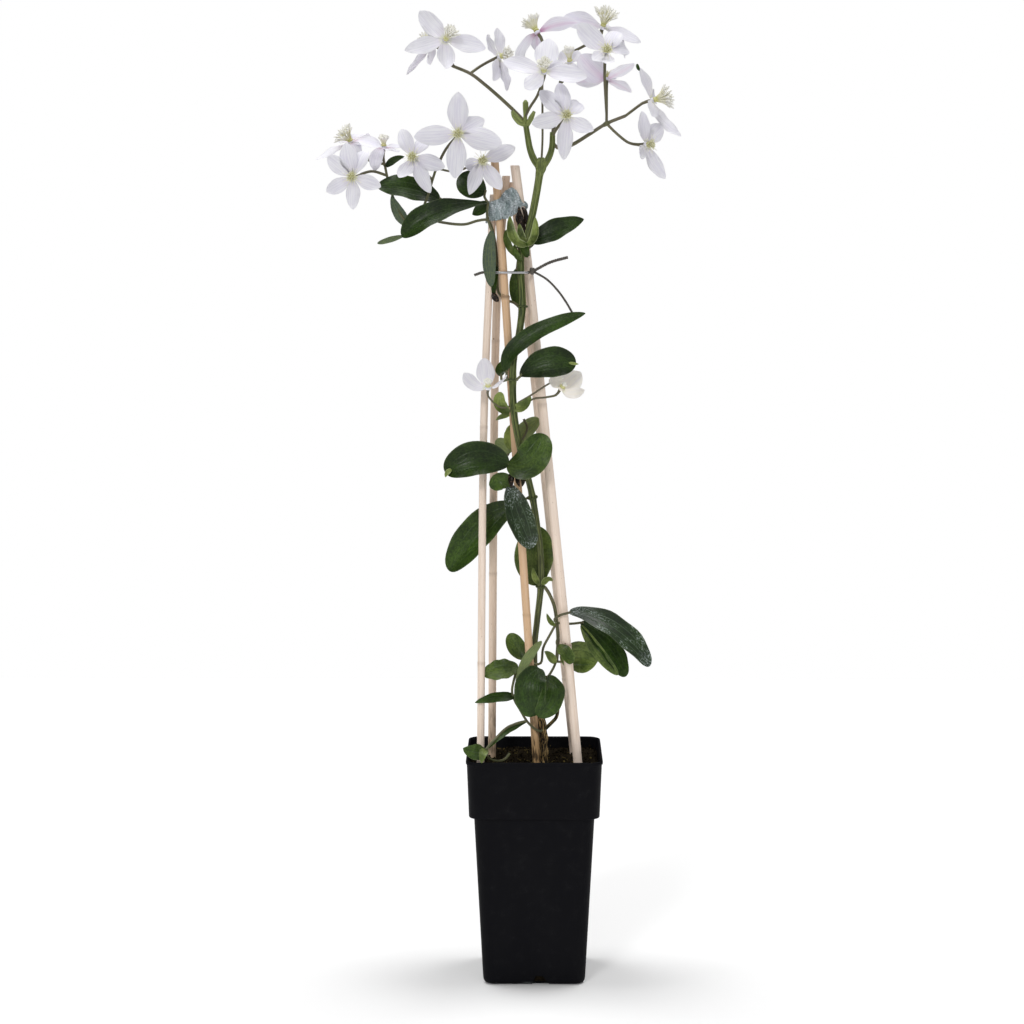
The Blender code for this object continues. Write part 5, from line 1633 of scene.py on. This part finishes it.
def make_shoot(name, dice):
    joint, stalks, leaves = SHOOTS[name]
    stalked = Bundle()
    if joint:
        ring = np.array([joint_point(joint, azimuth) for azimuth in range(0, 360, COLLAR_TURN)])
        ring = ring + (ring.mean(0) - ring) * COLLAR_CLASP
        tube(stalked, ring, COLLAR_THICKNESS, sides=8, closed=True, mark=0.1)
    for number, (start, *points) in enumerate(stalks):
        if isinstance(start, (int, float)):
            start = joint_point(joint, start)
        radius = STALK_RADIUS if number else STOUT_STALKS.get(name, STALK_RADIUS)
        tube(stalked, smooth([start, *points], STALK_SPACING), radius, ribs=5, rib_depth=0.07, mark=0.6)
    flower_stalks(stalked, name)
    stalked.piece(name + "_stalks", stem_skin, "stem", name)
    blades = Bundle()
    for row in leaves:
        leaf(blades, dice, *row)
    blades.piece(name + "_leaves", leaf_skin, "leaf", name)


leaf_dice = np.random.default_rng(11)
for shoot in SHOOTS:
    make_shoot(shoot, leaf_dice)
print("made", ", ".join(SHOOTS))

# %% [markdown]
# ## Blooms
# A bloom is a small receptacle with three to six petals and a dense tuft of stamens. The
# stamens fan out in a spiral: each is turned by the golden angle from the last one, which
# spreads them evenly without a visible row.

# %% Petals
PETAL_ROOT = 1.6
PETAL_PULL = 0.55
PETAL_THICKNESS = 0.6
# A petal's outline starts with these values; its belly and point are drawn from ranges
PETAL_START = (0.15, 0.50, 1.0)
PETAL_END = {"belly": (1.5, 2.0), "point": (0.58, 0.74)}
PETAL_FORM = {"cup": (0.02, 0.22), "fold": (0, 0.1), "wave": (0.3, 0.9), "waves": (1.2, 2.5),
              "twist": (-14, 14), "curl": (-0.35, 0.25)}
RECEPTACLE_SHARES = np.array([0.5, 0.8, 0.95, 1.0, 0.95, 0.85, 0.6])
# How pink each bloom is, where it differs from the rest
BLUSH = {
    "crown_up_left": 0.8, "crown_top": 0.3, "crown_right_low": 0.55, "side_upright": 0.7,
    "side_far_left_back": 0.6, "stem_left": -0.1, "stem_right": -1.0}


def make_petals(name, dice):
    centre, azimuth, elevation, rows = BLOOMS[name]
    looks = facing(azimuth, elevation)
    blush = BLUSH.get(name, 0.3)
    bloom = Bundle()
    axis = np.array(centre) + looks * np.linspace(-RECEPTACLE_HALF, RECEPTACLE_HALF, 7)[:, None]
    tube(bloom, axis, RECEPTACLE_RADIUS * RECEPTACLE_SHARES, sides=16, mark=blush)
    for angle, length, reach, width, *turned in rows:
        angle = math.radians(angle)
        tip = np.array([length * math.cos(angle), reach, length * math.sin(angle)])
        out = unit(tip - looks * tip.dot(looks))
        pull = out * np.linalg.norm(tip) * PETAL_PULL
        line = np.array(centre) + bent(out * PETAL_ROOT, pull, tip, stations(22))
        turned = turned[0] if turned else 0.0
        faces = looks * (1 - abs(turned)) + unit(np.array(TO_VIEWER)) * turned
        shape = (*PETAL_START, *drawn(dice, PETAL_END).values())
        form = drawn(dice, PETAL_FORM)
        blade(bloom, line, width, shape, faces, PETAL_THICKNESS, columns=11, chance=dice.random(),
              mark=blush, **form)
    bloom.piece(name + "_bloom", petal_skin, "petal", name + "_petals")


print("each petal is", PETAL_THICKNESS, "mm thick")

# %% Stamens
STAMENS = 38
SHORT_STAMENS = 26
STAMEN_SHARES = np.array([0, 0.35, 0.6, 0.75, 0.88, 1.0])
STAMEN_RADII = np.array([0.75, 0.65, 0.75, 1.1, 1.15, 0.5])
HEART_HEIGHT = 2.6
HEART_RADII = (2.2, 2.2, 1.9, 1.3, 0.5)
# How stout a stamen is in a brush, in an open eye, and where it lies out beside the eye
BRUSH_STOUT, EYE_STOUT, OUTER_STOUT = 0.7, 0.46, 0.22
REACH_SHARES = (0.8, 1.08)
EYE_GREEN = (0.5, 0.9)
OUTER_TILTS = (60, 78)
OUTER_LENGTHS = (5.5, 8)
GOLDEN_ANGLE = math.pi * (3 - math.sqrt(5))
# Tufts that stand up as brushes: the way that each leans, its spread in degrees and its length
BRUSHES = {
    "crown_left": ((0.55, 0, 0.65), 32, 11.5), "crown_left_back": ((0, 0, 0), 40, 10),
    "crown_left_side": ((0, 0, 0), 42, 9), "crown_up_left": ((0, 0, 0), 40, 13),
    "crown_top": ((0, 0, 0), 48, 15), "crown_inner": ((0, -0.2, 0.6), 24, 11),
    "crown_front": ((0, 0, 0.5), 38, 10), "crown_far_right": ((0, 0, 0), 42, 15),
    "side_far_left_back": ((-0.5, 0, 0), 52, 12), "side_upright": ((0, 0, 0), 32, 8),
    "stem_left": ((0, 0, 0), 30, 5.5), "stem_right": ((0, 0, 0), 24, 3)}
OPEN_EYE = ((0, 0, 0), 52, 4.6)


def stamen(bundle, root, way, bow, length, stout, green, chance):
    """A thread that leaves its root along `bow` and bends to `way`, with a club tip."""
    line = bent(root, root + bow * length * 0.6, root + way * length, STAMEN_SHARES)
    tube(bundle, line, stout * STAMEN_RADII, sides=6, chance=chance, mark=green)


def make_threads(name, dice):
    """A short heart and a spiral of stamens, as a brush or as an open eye."""
    centre, azimuth, elevation, _ = BLOOMS[name]
    looks = facing(azimuth, elevation)
    foot = np.array(centre) + looks * (RECEPTACLE_HALF + GAP)
    tuft = Bundle()
    heart = foot + looks * np.linspace(0, HEART_HEIGHT, len(HEART_RADII))[:, None]
    tube(tuft, heart, HEART_RADII, sides=14, ribs=7, rib_depth=0.08, mark=1.0)
    lean, spread, length = BRUSHES.get(name, OPEN_EYE)
    middle = unit(looks + np.array(lean))
    across = unit(np.cross(middle, (0.3, 0.2, 0.9)))
    side = np.cross(middle, across)
    crowd = STAMENS if name in BRUSHES else SHORT_STAMENS
    for k in range(STAMENS):
        turn = GOLDEN_ANGLE * k
        out = math.cos(turn) * across + math.sin(turn) * side
        tilt = math.radians(spread * math.sqrt((k + 0.5) / crowd) + dice.uniform(-4, 4))
        reach, stout, green = length * dice.uniform(*REACH_SHARES), BRUSH_STOUT, 0.0
        if crowd == SHORT_STAMENS:
            stout, green = EYE_STOUT, dice.uniform(*EYE_GREEN)
            if k >= SHORT_STAMENS:
                tilt = math.radians(dice.uniform(*OUTER_TILTS))
                reach, stout, green = dice.uniform(*OUTER_LENGTHS), OUTER_STOUT, 0.0
        root = foot + looks * 0.9 + out * math.sin(tilt) * 1.7
        bow = middle * math.cos(tilt * 0.6) + out * math.sin(tilt * 0.6)
        way = middle * math.cos(tilt) + out * math.sin(tilt)
        stamen(tuft, root, way, bow, reach, stout, green, dice.random())
    tuft.piece(name + "_threads", stamen_thread, "stamen", name + "_stamens")


print("brushes", len(BRUSHES), "of", len(BLOOMS), "tufts")

# %% All the blooms
for number, bloom_name in enumerate(BLOOMS):
    make_petals(bloom_name, np.random.default_rng(100 + number))
    make_threads(bloom_name, np.random.default_rng(200 + number))
print("blooms", len(BLOOMS), "stamens in each", STAMENS)
